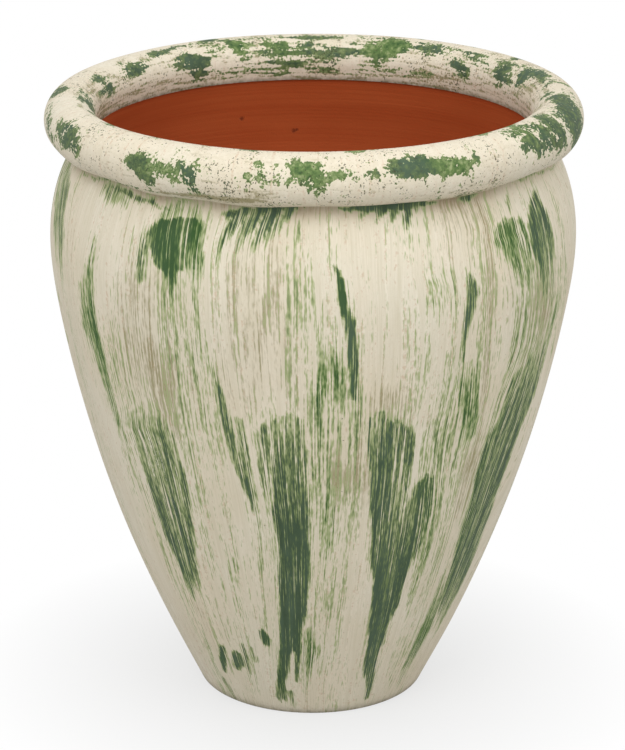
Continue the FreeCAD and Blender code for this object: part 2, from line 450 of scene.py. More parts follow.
WALL_STROKES = (
    # Broad washes, nearly dry, that the darker strokes were pulled out of
    Stroke(PALE, ((524, 240, 46, .7), (531, 290, 60, .95), (526, 345, 66, 1), (506, 400, 60, .9),
        (484, 450, 44, .8), (468, 500, 34, .7), (452, 560, 30, .7), (432, 620, 26, .6)), 12),
    Stroke(PALE, ((466, 330, 40, .6), (458, 380, 60, .85), (446, 430, 66, .95), (440, 480, 60, .9),
        (434, 530, 48, .8), (424, 590, 44, .75), (408, 650, 30, .6)), 14),
    Stroke(PALE, ((480, 250, 40, .5), (488, 320, 46, .7), (484, 400, 44, .75), (474, 460, 34, .6)), 12),
    Stroke(PALE, ((326, 330, 50, .6), (332, 390, 60, .9), (340, 430, 66, 1), (338, 480, 60, .9),
        (334, 530, 54, .8), (328, 600, 44, .7), (316, 670, 36, .6)), 12),
    Stroke(PALE, ((180, 280, 60, .8), (186, 350, 62, .9), (198, 420, 56, .8), (212, 500, 50, .7),
        (230, 580, 46, .7), (250, 660, 38, .6)), 12),
    Stroke(PALE, ((88, 230, 40, .4), (84, 280, 44, .6), (92, 340, 44, .6), (108, 400, 40, .5)), 12),
    Stroke(PALE, ((120, 300, 50, .5), (122, 350, 60, .65), (132, 400, 66, .8), (150, 460, 60, .75)), 14),
    Stroke(PALE, ((232, 240, 60, .5), (226, 290, 56, .5), (222, 350, 50, .45)), 14),
    Stroke(PALE, ((262, 400, 44, .5), (268, 500, 44, .8), (274, 580, 44, .8), (282, 660, 36, .7)), 12),
    Stroke(PALE, ((300, 240, 44, .6), (306, 310, 54, .8), (306, 380, 44, .7)), 12),
    Stroke(PALE, ((420, 250, 40, .4), (420, 300, 40, .5), (424, 350, 46, .6), (424, 400, 44, .6)), 14),
    Stroke(PALE, ((556, 250, 50, .4), (560, 300, 50, .6), (552, 350, 44, .6)), 14),
    Stroke(PALE, ((362, 215, 60, .3), (366, 250, 70, .4), (368, 300, 60, .3)), 16),
    Stroke(PALE, ((412, 215, 60, .6), (410, 245, 56, .6), (404, 280, 50, .3)), 14),
    Stroke(GRIME, ((250, 240, 60, .35), (252, 300, 70, .36), (250, 380, 70, .3)), 14),
    Stroke(GRIME, ((395, 410, 60, .35), (392, 430, 60, .45), (390, 470, 50, .3)), 12),
    Stroke(GRIME, ((352, 455, 50, .4), (352, 475, 56, .6), (352, 510, 44, .3)), 10),
    Stroke(GRIME, ((478, 430, 20, .5), (470, 470, 26, .7), (462, 510, 20, .5)), 8),
    Stroke(GRIME, ((536, 250, 50, .5), (540, 300, 60, .7), (530, 370, 60, .6), (500, 450, 40, .4)), 12),
    Stroke(GRIME, ((150, 290, 60, .4), (150, 350, 70, .6), (160, 420, 60, .5)), 12),
    # Left side: the strip on the outline, the patch and line under the rim, the long soft streak
    Stroke(DARK, ((65, 172, 36, .7), (60, 200, 44, .85), (58, 235, 40, .8), (60, 272, 26, .4))),
    Stroke(DARK, ((107, 189, 16, .7), (116, 195, 24, .75), (125, 203, 14, .6)), 8),
    Stroke(DARK, ((133, 188, 5, .7), (150, 198, 6, .7), (174, 208, 4, .5)), 3),
    Stroke(MID, ((101, 232, 14, .5), (89, 262, 24, .8), (86, 290, 30, 1), (90, 322, 34, 1.1),
        (98, 350, 28, 1.1), (106, 382, 20, 1), (119, 425, 14, .8), (132, 460, 10, .5)), 7),
    Stroke(DARK, ((90, 310, 10, .5), (96, 335, 16, .8), (102, 362, 14, .8), (110, 392, 8, .6)), 4),
    Stroke(PALE, ((97, 222, 14, .4), (86, 262, 18, .7), (84, 300, 24, .7), (90, 340, 26, .5),
        (105, 400, 22, .4)), 8),
    Stroke(GRIME, ((135, 262, 50, .2), (130, 320, 66, .34), (138, 390, 56, .3)), 14),
    # The dark block at the upper left, its ragged foot and the wash pulled down from it
    Stroke(DARK, ((164, 233, 30, 1.2), (164, 245, 29, 1.2), (165, 256, 26, 1.05)), 2),
    Stroke(DARK, ((189, 232, 29, 1.1), (190, 244, 28, 1.05), (191, 257, 25, .9)), 2.5),
    Stroke(DARK, ((177, 226, 18, 1.15), (177, 262, 18, 1.1)), 2),
    Stroke(DARK, ((168, 255, 20, 1.1), (170, 280, 12, .9), (171, 305, 4, .4)), 2),
    Stroke(DARK, ((187, 258, 14, .95), (190, 288, 7, .5)), 2.5),
    Stroke(MID, ((198, 226, 16, 1.1), (200, 262, 14, 1.0), (204, 290, 8, .5)), 3),
    Stroke(MID, ((178, 226, 56, .8), (182, 270, 52, .8), (186, 310, 46, .5), (190, 335, 40, .3)), 8),
    Stroke(DARK, ((146, 238, 16, .7), (143, 256, 20, .75), (140, 272, 18, .7)), 4),
    Stroke(PALE, ((180, 275, 50, .75), (184, 340, 50, .8), (192, 400, 50, .66), (202, 455, 42, .3)), 10),
    Stroke(GRIME, ((178, 300, 40, .3), (180, 360, 40, .4), (186, 420, 40, .35)), 8),
    Stroke(MID, ((212, 216, 8, .7), (207, 250, 6, .5), (204, 300, 5, .4), (207, 350, 8, .6)), 3),
    # The long dark line that leans right, left of the middle
    Stroke(DARK, ((211, 355, 4, .5), (219, 388, 8, .9), (227, 425, 10, 1), (236, 465, 12, 1),
        (246, 495, 10, 1), (254, 520, 4, .9)), 2.5),
    # The fan that is dragged down and left from under the rim
    Stroke(DARK, ((226, 213, 7, .9), (250, 210, 9, 1), (275, 209, 9, 1), (298, 207, 5, .8)), 2),
    Stroke(DARK, ((246, 209, 9, 1.1), (234, 224, 10, 1.1), (222, 244, 7, .8), (216, 264, 4, .4)), 2),
    Stroke(DARK, ((262, 208, 9, 1.15), (250, 224, 11, 1.1), (239, 242, 8, .8), (232, 260, 5, .4)), 2),
    Stroke(DARK, ((279, 208, 10, 1.15), (267, 224, 12, 1.1), (256, 240, 9, .9), (249, 256, 5, .4)), 2),
    Stroke(DARK, ((295, 207, 8, 1.1), (284, 220, 10, 1), (272, 236, 8, .8), (266, 248, 4, .4)), 2),
    # Smears along the crease
    Stroke(DARK, ((66, 159, 4, .6), (84, 171, 4, .7), (104, 180, 5, .8), (130, 186, 5, .8),
        (158, 191, 4, .6)), 2),
    Stroke(DARK, ((113, 187, 5, .8), (136, 197, 7, 1), (158, 204, 5, .9), (175, 209, 4, .7)), 2),
    Stroke(GRIME, ((163, 192, 5, .9), (210, 197, 5, 1), (267, 200, 4, .9)), 2),
    Stroke(DARK, ((560, 161, 3, .5), (545, 171, 4, .7), (520, 181, 4, .7), (480, 191, 3, .6),
        (430, 199, 3, .6)), 2),
    Stroke(DARK, ((463, 197, 7, .8), (470, 200, 8, .9), (474, 196, 5, .7)), 2),
    Stroke(MID, ((226, 236, 12, .5), (218, 262, 12, .5), (214, 290, 8, .2)), 4),
    Stroke(DARK, ((301, 225, 2, .9), (299, 240, 5, .9), (295, 262, 3, .7), (292, 310, 3, .4),
        (292, 372, 4, .5), (294, 395, 8, .6), (293, 425, 5, .4)), 2),
    # Thin olive streaks down the middle
    Stroke(GRIME, ((264, 262, 10, .4), (266, 300, 12, .6), (265, 345, 12, .5), (262, 372, 10, .2))),
    Stroke(GRIME, ((292, 262, 8, .4), (292, 330, 9, .5), (294, 385, 10, .5), (292, 425, 10, .4))),
    Stroke(GRIME, ((247, 240, 6, .3), (243, 300, 6, .4), (243, 370, 8, .3))),
    Stroke(GRIME, ((300, 240, 90, .16), (296, 310, 100, .24), (290, 380, 90, .2)), 16),
    Stroke(MID, ((318, 268, 8, .4), (320, 310, 8, .6), (322, 345, 10, .9), (321, 385, 14, 1.15),
        (322, 412, 12, 1), (324, 445, 8, .6)), 3),
    Stroke(MID, ((334, 335, 8, .5), (338, 368, 18, 1), (340, 400, 18, .9), (340, 425, 12, .5)), 4),
    Stroke(MID, ((308, 330, 8, .4), (306, 380, 10, .6), (306, 420, 8, .5)), 4),
    # The leaf-shaped stroke
    Stroke(DARK, ((331, 261, 2, .9), (337, 274, 5, 1.2), (343, 292, 9, 1.3), (349, 318, 10, 1.3),
        (352, 348, 8.5, 1.35), (353, 372, 7, 1.35), (353, 402, 4, 1.2)), 1.2),
    Stroke(MID, ((337, 274, 6, .8), (343, 292, 12, .8), (347, 310, 12, .6)), 3),
    Stroke(DARK, ((341, 290, 5, .8), (345, 320, 4, .7), (347, 338, 3, .3)), 1.5),
    Stroke(PALE, ((335, 340, 30, .35), (335, 400, 38, .8), (338, 440, 34, .75), (336, 500, 28, .6),
        (330, 565, 22, .4)), 9),
    # The dark smear under the rim, right of the middle
    Stroke(DARK, ((340, 210, 4, .9), (362, 208, 7, 1.1), (384, 207, 9, 1.2), (404, 207, 10, 1.2),
        (420, 203, 7, 1), (438, 201, 3, .8)), 1.5),
    Stroke(DARK, ((356, 207, 6, 1), (347, 216, 4, .7)), 1.5),
    Stroke(DARK, ((370, 208, 8, 1.1), (362, 218, 5, .7)), 1.5),
    Stroke(DARK, ((384, 208, 9, 1.1), (378, 221, 5, .8)), 1.5),
    Stroke(DARK, ((398, 208, 10, 1.2), (394, 223, 6, .8)), 1.5),
    Stroke(DARK, ((410, 208, 9, 1.2), (408, 229, 5, .8)), 1.5),
    Stroke(DARK, ((418, 206, 7, 1), (418, 216, 4, .6)), 1.5),
    Stroke(MID, ((390, 232, 10, .4), (391, 246, 12, .45), (388, 256, 8, .2))),
    # Right side: two soft patches, the streaks they trail and the pale patch
    Stroke(MID, ((507, 236, 30, 1), (514, 240, 42, 1.1), (520, 252, 40, 1), (525, 275, 34, .8)), 3),
    Stroke(DARK, ((508, 232, 18, .9), (514, 232, 26, .95), (520, 240, 26, .85), (523, 256, 18, .6)), 3),
    Stroke(DARK, ((535, 206, 24, .95), (539, 220, 38, 1.05), (543, 242, 38, 1), (547, 268, 32, .85),
        (550, 300, 24, .6)), 3),
    Stroke(DARK, ((507, 190, 4, .8), (509, 205, 6, .9), (511, 214, 4, .7)), 2),
    Stroke(PALE, ((523, 246, 30, .5), (531, 290, 40, .65), (528, 335, 46, .6), (515, 380, 40, .4)), 10),
    Stroke(MID, ((522, 250, 30, .6), (532, 290, 44, .68), (530, 335, 48, .62)), 10),
    Stroke(GRIME, ((519, 255, 40, .4), (527, 300, 50, .55), (524, 340, 50, .5)), 10),
    Stroke(MID, ((557, 285, 14, .4), (554, 310, 22, .75), (548, 332, 20, .6)), 6),
    Stroke(PALE, ((428, 274, 12, .5), (440, 285, 40, .85), (443, 305, 42, .8), (446, 335, 34, .4)), 8),
    Stroke(MID, ((436, 280, 28, .35), (442, 300, 34, .4), (446, 320, 26, .25)), 8),
    Stroke(DARK, ((466, 267, 4, .8), (470, 281, 10, .95), (473, 297, 14, 1), (470, 315, 11, 1),
        (466, 335, 7, 1), (464, 364, 3, .8)), 2),
    Stroke(GRIME, ((489, 240, 12, .4), (488, 300, 12, .5), (484, 360, 14, .6), (480, 420, 12, .45))),
    Stroke(MID, ((460, 335, 14, .5), (462, 368, 22, .8), (467, 395, 30, 1.05), (470, 425, 28, 1),
        (464, 452, 22, .7), (456, 490, 18, .5)), 5),
    Stroke(MID, ((476, 330, 10, .4), (476, 380, 14, .7), (474, 430, 14, .8), (470, 470, 10, .5)), 4),
    Stroke(GRIME, ((452, 200, 60, .3), (470, 230, 70, .3), (462, 250, 60, .2)), 16),
    # The large stroke down the right side
    Stroke(DARK, ((546, 330, 36, .5), (536, 362, 50, .75), (524, 390, 60, .9), (507, 430, 62, .98),
        (491, 475, 56, 1), (474, 530, 49, 1), (459, 575, 42, 1), (447, 603, 28, .9),
        (437, 628, 14, .5)), 4),
    Stroke(MID, ((536, 340, 30, .3), (505, 400, 16, .5), (480, 470, 12, .5), (452, 560, 12, .6),
        (430, 625, 12, .6)), 5),
    Stroke(MID, ((444, 575, 12, .6), (436, 604, 18, 1), (424, 632, 22, 1.15), (410, 662, 14, .9),
        (398, 686, 8, .5)), 4),
    Stroke(PALE, ((404, 640, 20, .8), (392, 672, 16, .8), (386, 692, 10, .6)), 6),
    # The dark pair right of the middle, drawn to a point at the foot
    Stroke(DARK, ((379, 424, 26, .8), (379, 445, 26, 1.05), (381, 480, 20, 1.1), (381, 520, 20, 1.1),
        (382, 560, 22, 1.15), (382, 595, 22, 1.2), (377, 632, 15, 1.25), (371, 664, 10, 1.2),
        (367, 694, 6, 1.2)), 1.6),
    Stroke(DARK, ((401, 430, 26, .93), (401, 462, 26, .93), (397, 492, 20, .95), (392, 530, 20, 1)), 3),
    Stroke(DARK, ((394, 512, 22, .95), (394, 545, 30, 1.05), (391, 580, 30, 1.1), (386, 606, 22, 1.05)), 3),
    Stroke(DARK, ((423, 490, 27, .95), (414, 528, 36, 1), (403, 555, 35, 1.05), (394, 580, 27, 1.1),
        (386, 615, 17, 1.05), (380, 640, 10, 1)), 2.5),
    Stroke(MID, ((434, 495, 10, .8), (430, 525, 16, .95), (422, 560, 14, .8), (410, 600, 10, .6)), 4),
    Stroke(DARK, ((388, 400, 50, .16), (392, 418, 52, .4)), 8),
    Stroke(MID, ((430, 452, 22, .4), (427, 478, 24, .5), (432, 520, 14, .4), (424, 570, 12, .6)), 6),
    Stroke(PALE, ((425, 450, 30, .5), (436, 500, 34, .55), (432, 560, 28, .5), (420, 620, 22, .4)), 8),
    # The broad stroke down the left side
    Stroke(DARK, ((141, 396, 40, .3), (149, 428, 58, .74), (162, 470, 60, .85), (172, 512, 48, .93),
        (182, 552, 32, .96), (191, 586, 16, .95), (197, 604, 5, .8)), 5),
    Stroke(DARK, ((115, 402, 4, .5), (125, 440, 7, .8), (137, 480, 7, .8), (150, 515, 4, .6)), 2.5),
    Stroke(MID, ((140, 385, 14, .4), (152, 410, 20, .6), (120, 432, 12, .4)), 6),
    Stroke(WHITE, ((149, 440, 6, .5), (155, 462, 11, .6), (160, 490, 5, .5)), 4),
    Stroke(PALE, ((165, 400, 40, .4), (190, 470, 34, .45), (205, 540, 36, .45), (225, 605, 34, .45),
        (246, 665, 22, .3)), 10),
    Stroke(MID, ((205, 540, 3, .3), (213, 572, 6, .7), (224, 612, 6, .6), (238, 655, 4, .3)), 3),
    Stroke(MID, ((222, 515, 4, .4), (235, 568, 7, .8), (247, 610, 5, .4)), 3),
    Stroke(MID, ((176, 560, 4, .5), (184, 590, 6, .7), (196, 618, 5, .4)), 3),
    # The bristled block and the large dark stroke left of the middle
    Stroke(DARK, ((239, 424, 10, .8), (244, 450, 13, .75), (254, 500, 12, .55), (264, 550, 8, .25)), 3),
    Stroke(DARK, ((261, 427, 13, .8), (264, 460, 13, .75), (268, 505, 11, .5), (274, 560, 8, .3)), 3),
    Stroke(DARK, ((288, 424, 32, .7), (290, 465, 36, .86), (292, 520, 34, 1), (294, 570, 29, 1.15),
        (294, 612, 25, 1.25), (292, 636, 21, 1.25), (284, 654, 12, 1.2), (282, 680, 9, 1.15),
        (281, 700, 8, 1)), 2),
    Stroke(DARK, ((299, 636, 9, 1.1), (298, 656, 6, 1.1), (297, 680, 4, .8)), 1.5),
    Stroke(DARK, ((290, 692, 8, .9), (291, 705, 6, .8)), 2),
    Stroke(DARK, ((312, 460, 12, .6), (316, 492, 11, .65), (313, 540, 11, .6), (308, 600, 8, .5)), 3),
    Stroke(MID, ((328, 470, 10, .6), (328, 505, 15, 1), (327, 545, 13, .9), (322, 590, 8, .5)), 4),
    Stroke(MID, ((262, 600, 14, .3), (270, 640, 16, .5), (280, 690, 12, .5)), 5),
    # Small dabs near the foot
    Stroke(DARK, ((223, 648, 7, 1.1), (224, 660, 10, 1.25), (225, 671, 7, 1.1)), 1.6),
    Stroke(DARK, ((236, 654, 9, 1.1), (238, 662, 12, 1.2), (238, 669, 8, 1.1)), 1.6),
    Stroke(DARK, ((241, 643, 4, .9), (246, 658, 8, .85), (250, 672, 6, .7)), 2),
    Stroke(DARK, ((252, 648, 4, .8), (257, 662, 6, .75)), 2),
    Stroke(DARK, ((264, 633, 8, 1.1), (267, 640, 11, 1.2), (268, 645, 7, 1)), 1.6),
    Stroke(DARK, ((224, 679, 7, .8), (230, 689, 7, .85), (236, 700, 5, .7)), 2.5),
    Stroke(MID, ((202, 626, 5, .6), (208, 645, 6, .7), (214, 662, 5, .5)), 2.5),
    Stroke(MID, ((228, 662, 20, .5), (240, 680, 14, .4)), 5),
    Stroke(MID, ((308, 630, 10, .8), (312, 650, 18, .95), (308, 672, 12, .8), (306, 695, 8, .4)), 4),
)

RIM_STROKES = (
    # The near side of the roll, from left to right
    Stroke(DARK, ((50, 104, 12, .5), (48, 122, 20, .6), (53, 140, 20, .5)), 6),
    Stroke(DARK, ((60, 127, 20, .7), (67, 134, 30, .9), (75, 145, 24, .75), (80, 153, 12, .4)), 8),
    Stroke(DARK, ((131, 162, 14, .9), (142, 166, 24, 1), (149, 176, 18, .85)), 6),
    Stroke(MID, ((154, 164, 18, .6), (168, 171, 20, .7), (178, 180, 14, .6)), 8),
    Stroke(DARK, ((179, 165, 12, .8), (187, 175, 20, .95), (192, 187, 14, .85)), 6),
    Stroke(MID, ((196, 162, 10, .5), (203, 168, 10, .5))),
    Stroke(MID, ((237, 181, 8, .6), (246, 176, 12, .75), (252, 174, 6, .5)), 4),
    Stroke(MID, ((258, 160, 8, .6), (262, 166, 10, .7), (261, 178, 8, .7), (260, 188, 6, .4)), 4),
    Stroke(MID, ((272, 164, 7, .6), (284, 165, 6, .4)), 4),
    Stroke(DARK, ((281, 178, 6, .5), (281, 184, 5, .4)), 4),
    Stroke(MID, ((292, 180, 10, .7), (300, 170, 20, .9), (312, 172, 24, .95), (318, 182, 16, .8)), 6),
    Stroke(DARK, ((298, 166, 8, .5), (308, 178, 16, .75), (312, 190, 12, .6)), 6),
    Stroke(MID, ((322, 180, 8, .7), (338, 176, 9, .85), (352, 174, 8, .6)), 4),
    Stroke(DARK, ((356, 176, 6, .6), (370, 174, 9, .7), (390, 171, 8, .7)), 5),
    Stroke(DARK, ((396, 167, 14, .95), (408, 168, 22, 1), (424, 166, 22, 1), (438, 168, 14, .9)), 4),
    Stroke(MID, ((430, 160, 12, .6), (446, 168, 18, .9), (462, 168, 16, .95), (474, 164, 10, .7)), 5),
    Stroke(DARK, ((474, 153, 5, .8), (477, 162, 8, .8)), 3),
    Stroke(DARK, ((444, 176, 10, .5), (456, 172, 8, .5), (470, 168, 6, .4)), 5),
    Stroke(MID, ((506, 132, 14, .6), (520, 130, 20, .7), (536, 126, 18, .6)), 6),
    Stroke(DARK, ((524, 150, 12, .8), (532, 142, 18, .85), (541, 150, 20, .85), (546, 156, 10, .6)), 6),
    Stroke(DARK, ((534, 128, 10, .8), (544, 138, 16, .9), (550, 148, 12, .8)), 5),
    Stroke(DARK, ((506, 140, 8, .6), (516, 134, 12, .75), (528, 132, 12, .7)), 5),
    Stroke(DARK, ((546, 150, 10, .8), (556, 142, 14, .85), (566, 146, 10, .7)), 5),
    Stroke(DARK, ((556, 108, 20, .5), (564, 116, 30, .75), (572, 126, 34, .8), (574, 140, 22, .6)), 8),
    Stroke(DARK, ((580, 112, 20, .7), (582, 124, 26, .7), (579, 138, 18, .5)), 8),
    # The far side of the roll, seen across the mouth
    Stroke(DARK, ((92, 78, 10, .6), (101, 80, 18, .85), (110, 84, 16, .8), (100, 92, 8, .5)), 6),
    Stroke(DARK, ((77, 86, 8, .4), (84, 94, 14, .6), (88, 104, 10, .5)), 6),
    Stroke(DARK, ((122, 72, 10, .6), (136, 68, 16, .85), (147, 65, 10, .6)), 6),
    Stroke(DARK, ((146, 54, 8, .6), (156, 53, 14, .85), (164, 52, 8, .5)), 5),
    Stroke(DARK, ((166, 50, 8, .7), (174, 48, 12, .7)), 5),
    Stroke(DARK, ((178, 64, 12, .85), (190, 60, 18, 1), (203, 62, 16, .95), (209, 62, 10, .8)), 4),
    Stroke(DARK, ((195, 76, 10, .9), (202, 74, 12, .9)), 3),
    Stroke(DARK, ((214, 68, 10, .5), (222, 72, 10, .5)), 5),
    Stroke(MID, ((210, 50, 12, .6), (222, 48, 12, .5)), 5),
    Stroke(MID, ((232, 43, 14, .8), (240, 48, 24, .95), (243, 54, 14, .8)), 5),
    Stroke(DARK, ((236, 46, 8, .5), (244, 46, 8, .4))),
    Stroke(MID, ((266, 43, 14, .8), (280, 46, 24, .8), (294, 52, 20, .6)), 6),
    Stroke(DARK, ((268, 56, 10, .6), (280, 60, 16, .6), (298, 64, 14, .6), (314, 62, 10, .4)), 6),
    Stroke(DARK, ((296, 46, 12, .6), (320, 48, 16, .6), (344, 50, 14, .6), (362, 47, 10, .5)), 6),
    Stroke(DARK, ((326, 60, 12, .6), (334, 66, 14, .6), (352, 56, 10, .5)), 6),
    Stroke(MID, ((368, 50, 14, .9), (382, 48, 26, 1), (396, 47, 26, 1), (406, 46, 14, .9)), 5),
    Stroke(MID, ((374, 60, 10, .7), (378, 66, 8, .5)), 4),
    Stroke(DARK, ((418, 47, 12, .8), (430, 50, 18, .85), (440, 53, 12, .7)), 5),
    Stroke(DARK, ((448, 58, 14, .5), (456, 66, 14, .8), (466, 74, 14, .8)), 5),
    Stroke(DARK, ((466, 52, 14, .5), (482, 60, 16, .5), (492, 66, 12, .4)), 7),
    Stroke(DARK, ((499, 68, 18, .7), (504, 76, 26, .9), (508, 84, 14, .7)), 5),
    Stroke(DARK, ((516, 86, 12, .7), (524, 76, 26, .9), (534, 74, 26, .8), (546, 76, 16, .5)), 6),
    Stroke(DARK, ((538, 92, 8, .6), (544, 86, 10, .6), (552, 82, 8, .5)), 4),
    Stroke(DARK, ((556, 84, 20, .3), (570, 92, 26, .4), (578, 102, 24, .4)), 8),
    # Painted shade: a dark green line along the top outline of the far roll
    Stroke(DARK, ((150, 53, 8, .5), (200, 43, 8, .6), (250, 39, 8, .6), (312, 37, 9, .7), (380, 38, 8, .6),
        (440, 47, 8, .6), (500, 62, 10, .6), (548, 82, 12, .6)), 5),
    Stroke(DARK, ((562, 98, 30, .8), (573, 114, 40, .95), (577, 136, 30, .85)), 6),
    Stroke(DARK, ((532, 116, 14, .6), (550, 122, 24, .85), (562, 138, 24, .85), (558, 154, 12, .6)), 6),
    Stroke(DARK, ((520, 126, 12, .7), (536, 128, 18, .85), (548, 134, 16, .85)), 5),
    Stroke(DARK, ((262, 50, 10, .7), (300, 53, 12, .8), (340, 52, 12, .8), (372, 52, 10, .7)), 5),
    Stroke(MID, ((220, 74, 8, .5), (260, 70, 10, .55), (310, 70, 10, .55), (370, 70, 10, .5),
        (430, 76, 8, .4)), 6),
    Stroke(GRIME, ((120, 84, 12, .3), (200, 78, 16, .36), (300, 74, 16, .4), (400, 76, 16, .36),
        (480, 86, 12, .3)), 6),
)

# The pits in the bare clay inside the mouth, darkened in colour as painted shade: pixels from the
# photograph's left and top, and the size
PITS = ((242, 119, 2.0 * MM), (294, 131, 2.2 * MM), (297, 130, 1.4 * MM))


@dataclass
class Piece:
    """One clay piece: the closed loop of its section, and how much of that loop is the outside."""

    node: str
    loop: list[tuple[float, float]]
    outside_count: int


@dataclass
class ClaySections:
    """Cuts the planter's section at its luted seams into the loops of the four clay pieces."""

    section: Section

    def key(self, height: float, outer: float, inner: float) -> list[tuple[float, float]]:
        """A level seam with the upper piece's V key halfway across the wall.

        Args:
            height: The seam's height.
            outer: The radius of the wall's outside there.
            inner: The radius of its inside.

        Returns:
            The seam's points, from outside to inside.
        """
        middle = (outer + inner) / 2
        half = self.section.key_width / 2
        return [(outer, height), (middle + half, height), (middle, height - self.section.key_depth),
                (middle - half, height), (inner, height)]

    def pieces(self) -> list[Piece]:
        """The four pieces, from the rim down.

        Returns:
            Each piece's loop, with its outside stretch first.
        """
        section = self.section
        rim_out, below = self.cut_outside(section.outside(), section.neck_seam)
        upper_out, below = split_at(below, section.wall_seam)
        lower_out, slab_out = split_at(below, section.base_seam)
        lower_in, above = split_at(section.inside(), section.wall_seam)
        upper_in, rim_in = split_at(above, section.neck_seam)
        neck_key = self.key(section.neck_seam, rim_out[-1][0], rim_in[0][0])
        wall_key = self.key(section.wall_seam, upper_out[-1][0], upper_in[0][0])
        step = lower_in[0][0]
        slab_top = section.base_thickness
        step_foot = (step, section.base_seam)
        hole = section.hole_radius
        edge = section.hole_edge
        top_round = arc((hole + edge, slab_top - edge), edge, math.pi, math.pi / 2, MM)
        foot_round = arc((hole + edge, edge), edge, 3 * math.pi / 2, math.pi, MM)
        floor = straight(top_round[-1], (step, slab_top), section.inner_spacing)
        under = straight(slab_out[-1], foot_round[0], section.inner_spacing)
        return [
            self.piece("rim_coil", rim_out, neck_key, rim_in),
            self.piece("upper_wall", upper_out, wall_key, upper_in, neck_key[::-1]),
            self.piece("lower_wall", lower_out, [step_foot], lower_in, wall_key[::-1]),
            self.piece("base_slab", slab_out, under, foot_round, top_round, floor, [step_foot]),
        ]

    @staticmethod
    def cut_outside(points: list[tuple[float, float]],
                    height: float) -> tuple[list[tuple[float, float]], list[tuple[float, float]]]:
        """Cuts the outside below the roll, the first time it passes the height on its way down.

        Args:
            points: The outside, from the lip down.
            height: Where it is cut.

        Returns:
            The part above the cut and the part below it.
        """
        top = max(range(len(points)), key=lambda i: points[i][1])
        high, low = split_at(points[top:], height)
        return joined(points[:top], high), low

    @staticmethod
    def piece(node: str, outside: list[tuple[float, float]],
              *rest: list[tuple[float, float]]) -> Piece:
        """Joins the stretches of one piece into its closed loop.

        Args:
            node: The piece's CAD node.
            outside: Its stretch of the outside.
            rest: Its other stretches, in order round the loop.

        Returns:
            The piece.
        """
        loop = joined(outside, *rest)
        if math.dist(loop[0], loop[-1]) < SAME_POINT:
            loop.pop()
        return Piece(node, loop, len(outside))


@dataclass
class HandShaping:
    """How far a hand-built planter strays from true, in metres."""

    overall_height: float
    seed: int = 7
    waves: int = 9
    fewest_turns: int = 2
    most_turns: int = 9
    wobble: float = 0.55 * MM
    wave_length: float = 190 * MM
    rim_tilt: float = 1.9 * MM
    tilt_from: float = 300 * MM
    neck_height: float = 538 * MM
    neck_wander: float = 1.2 * MM
    neck_reach: float = 16 * MM
    outside_from: float = 212 * MM
    outside_soft: float = 8 * MM
    full_from: float = 60 * MM

    def __post_init__(self) -> None:
        """Draws the waves."""
        draw = random.Random(self.seed)
        self.turns = [draw.randint(self.fewest_turns, self.most_turns) for _ in range(self.waves)]
        self.phases = [draw.uniform(0, FULL_TURN) for _ in range(self.waves)]
        self.climbs = [draw.uniform(-1, 1) * FULL_TURN / self.wave_length for _ in range(self.waves)]
        self.lifts = [draw.uniform(0, FULL_TURN) for _ in range(self.waves)]

    def shape(self, places: np.ndarray) -> np.ndarray:
        """Moves points of the true shape to where the hand left them.

        Args:
            places: One row of x, y and z for each point.

        Returns:
            The moved points.
        """
        x, y, z = places.T
        radius = np.hypot(x, y)
        angle = np.arctan2(y, x)
        stray = np.zeros_like(x)
        wander = np.zeros_like(x)
        for turns, phase, climb, lift in zip(self.turns, self.phases, self.climbs, self.lifts):
            stray += np.cos(turns * angle + phase + climb * z) / self.waves ** 0.5
            wander += np.cos(2 * turns * angle + lift) / self.waves ** 0.5
        settled = np.clip(z / self.full_from, 0, 1)
        moved = radius + self.wobble * stray * settled
        near_neck = np.exp(-((z - self.neck_height) / self.neck_reach) ** 2)
        near_neck *= np.clip((radius - self.outside_from) / self.outside_soft, 0, 1)
        rise = np.clip((z - self.tilt_from) / (self.overall_height - self.tilt_from), 0, 1) ** 2
        lifted = z + self.neck_wander * wander * near_neck + self.rim_tilt * np.cos(angle) * rise
        return np.column_stack([moved * np.cos(angle), moved * np.sin(angle), lifted])


def turned(line: list[tuple[float, float]], steps: int, wedges: int,
           closed: bool = False) -> bmesh.types.BMesh:
    """Spins a line of the section once round the axis: one wedge first, then its copies.

    Args:
        line: Radius and height of each point.
        steps: How many steps make the full turn.
        wedges: How many wedges the turn is made in.
        closed: Whether the line is a loop.

    Returns:
        The spun mesh, with its wedges merged.
    """
    form = bmesh.new()
    ring = [form.verts.new((radius, 0, height)) for radius, height in line]
    edges = [form.edges.new(pair) for pair in zip(ring, ring[1:] + ring[:1] * closed)]
    wedge = FULL_TURN / wedges
    bmesh.ops.spin(form, geom=ring + edges, cent=(0, 0, 0), axis=(0, 0, 1), dvec=(0, 0, 0),
                   angle=wedge, steps=steps // wedges, use_merge=False, use_duplicate=False)
    whole = form.verts[:] + form.edges[:] + form.faces[:]
    bmesh.ops.spin(form, geom=whole, cent=(0, 0, 0), axis=(0, 0, 1), dvec=(0, 0, 0),
                   angle=FULL_TURN - wedge, steps=wedges - 1, use_merge=False, use_duplicate=True)
    bmesh.ops.remove_doubles(form, verts=form.verts, dist=SAME_VERTEX)
    return form


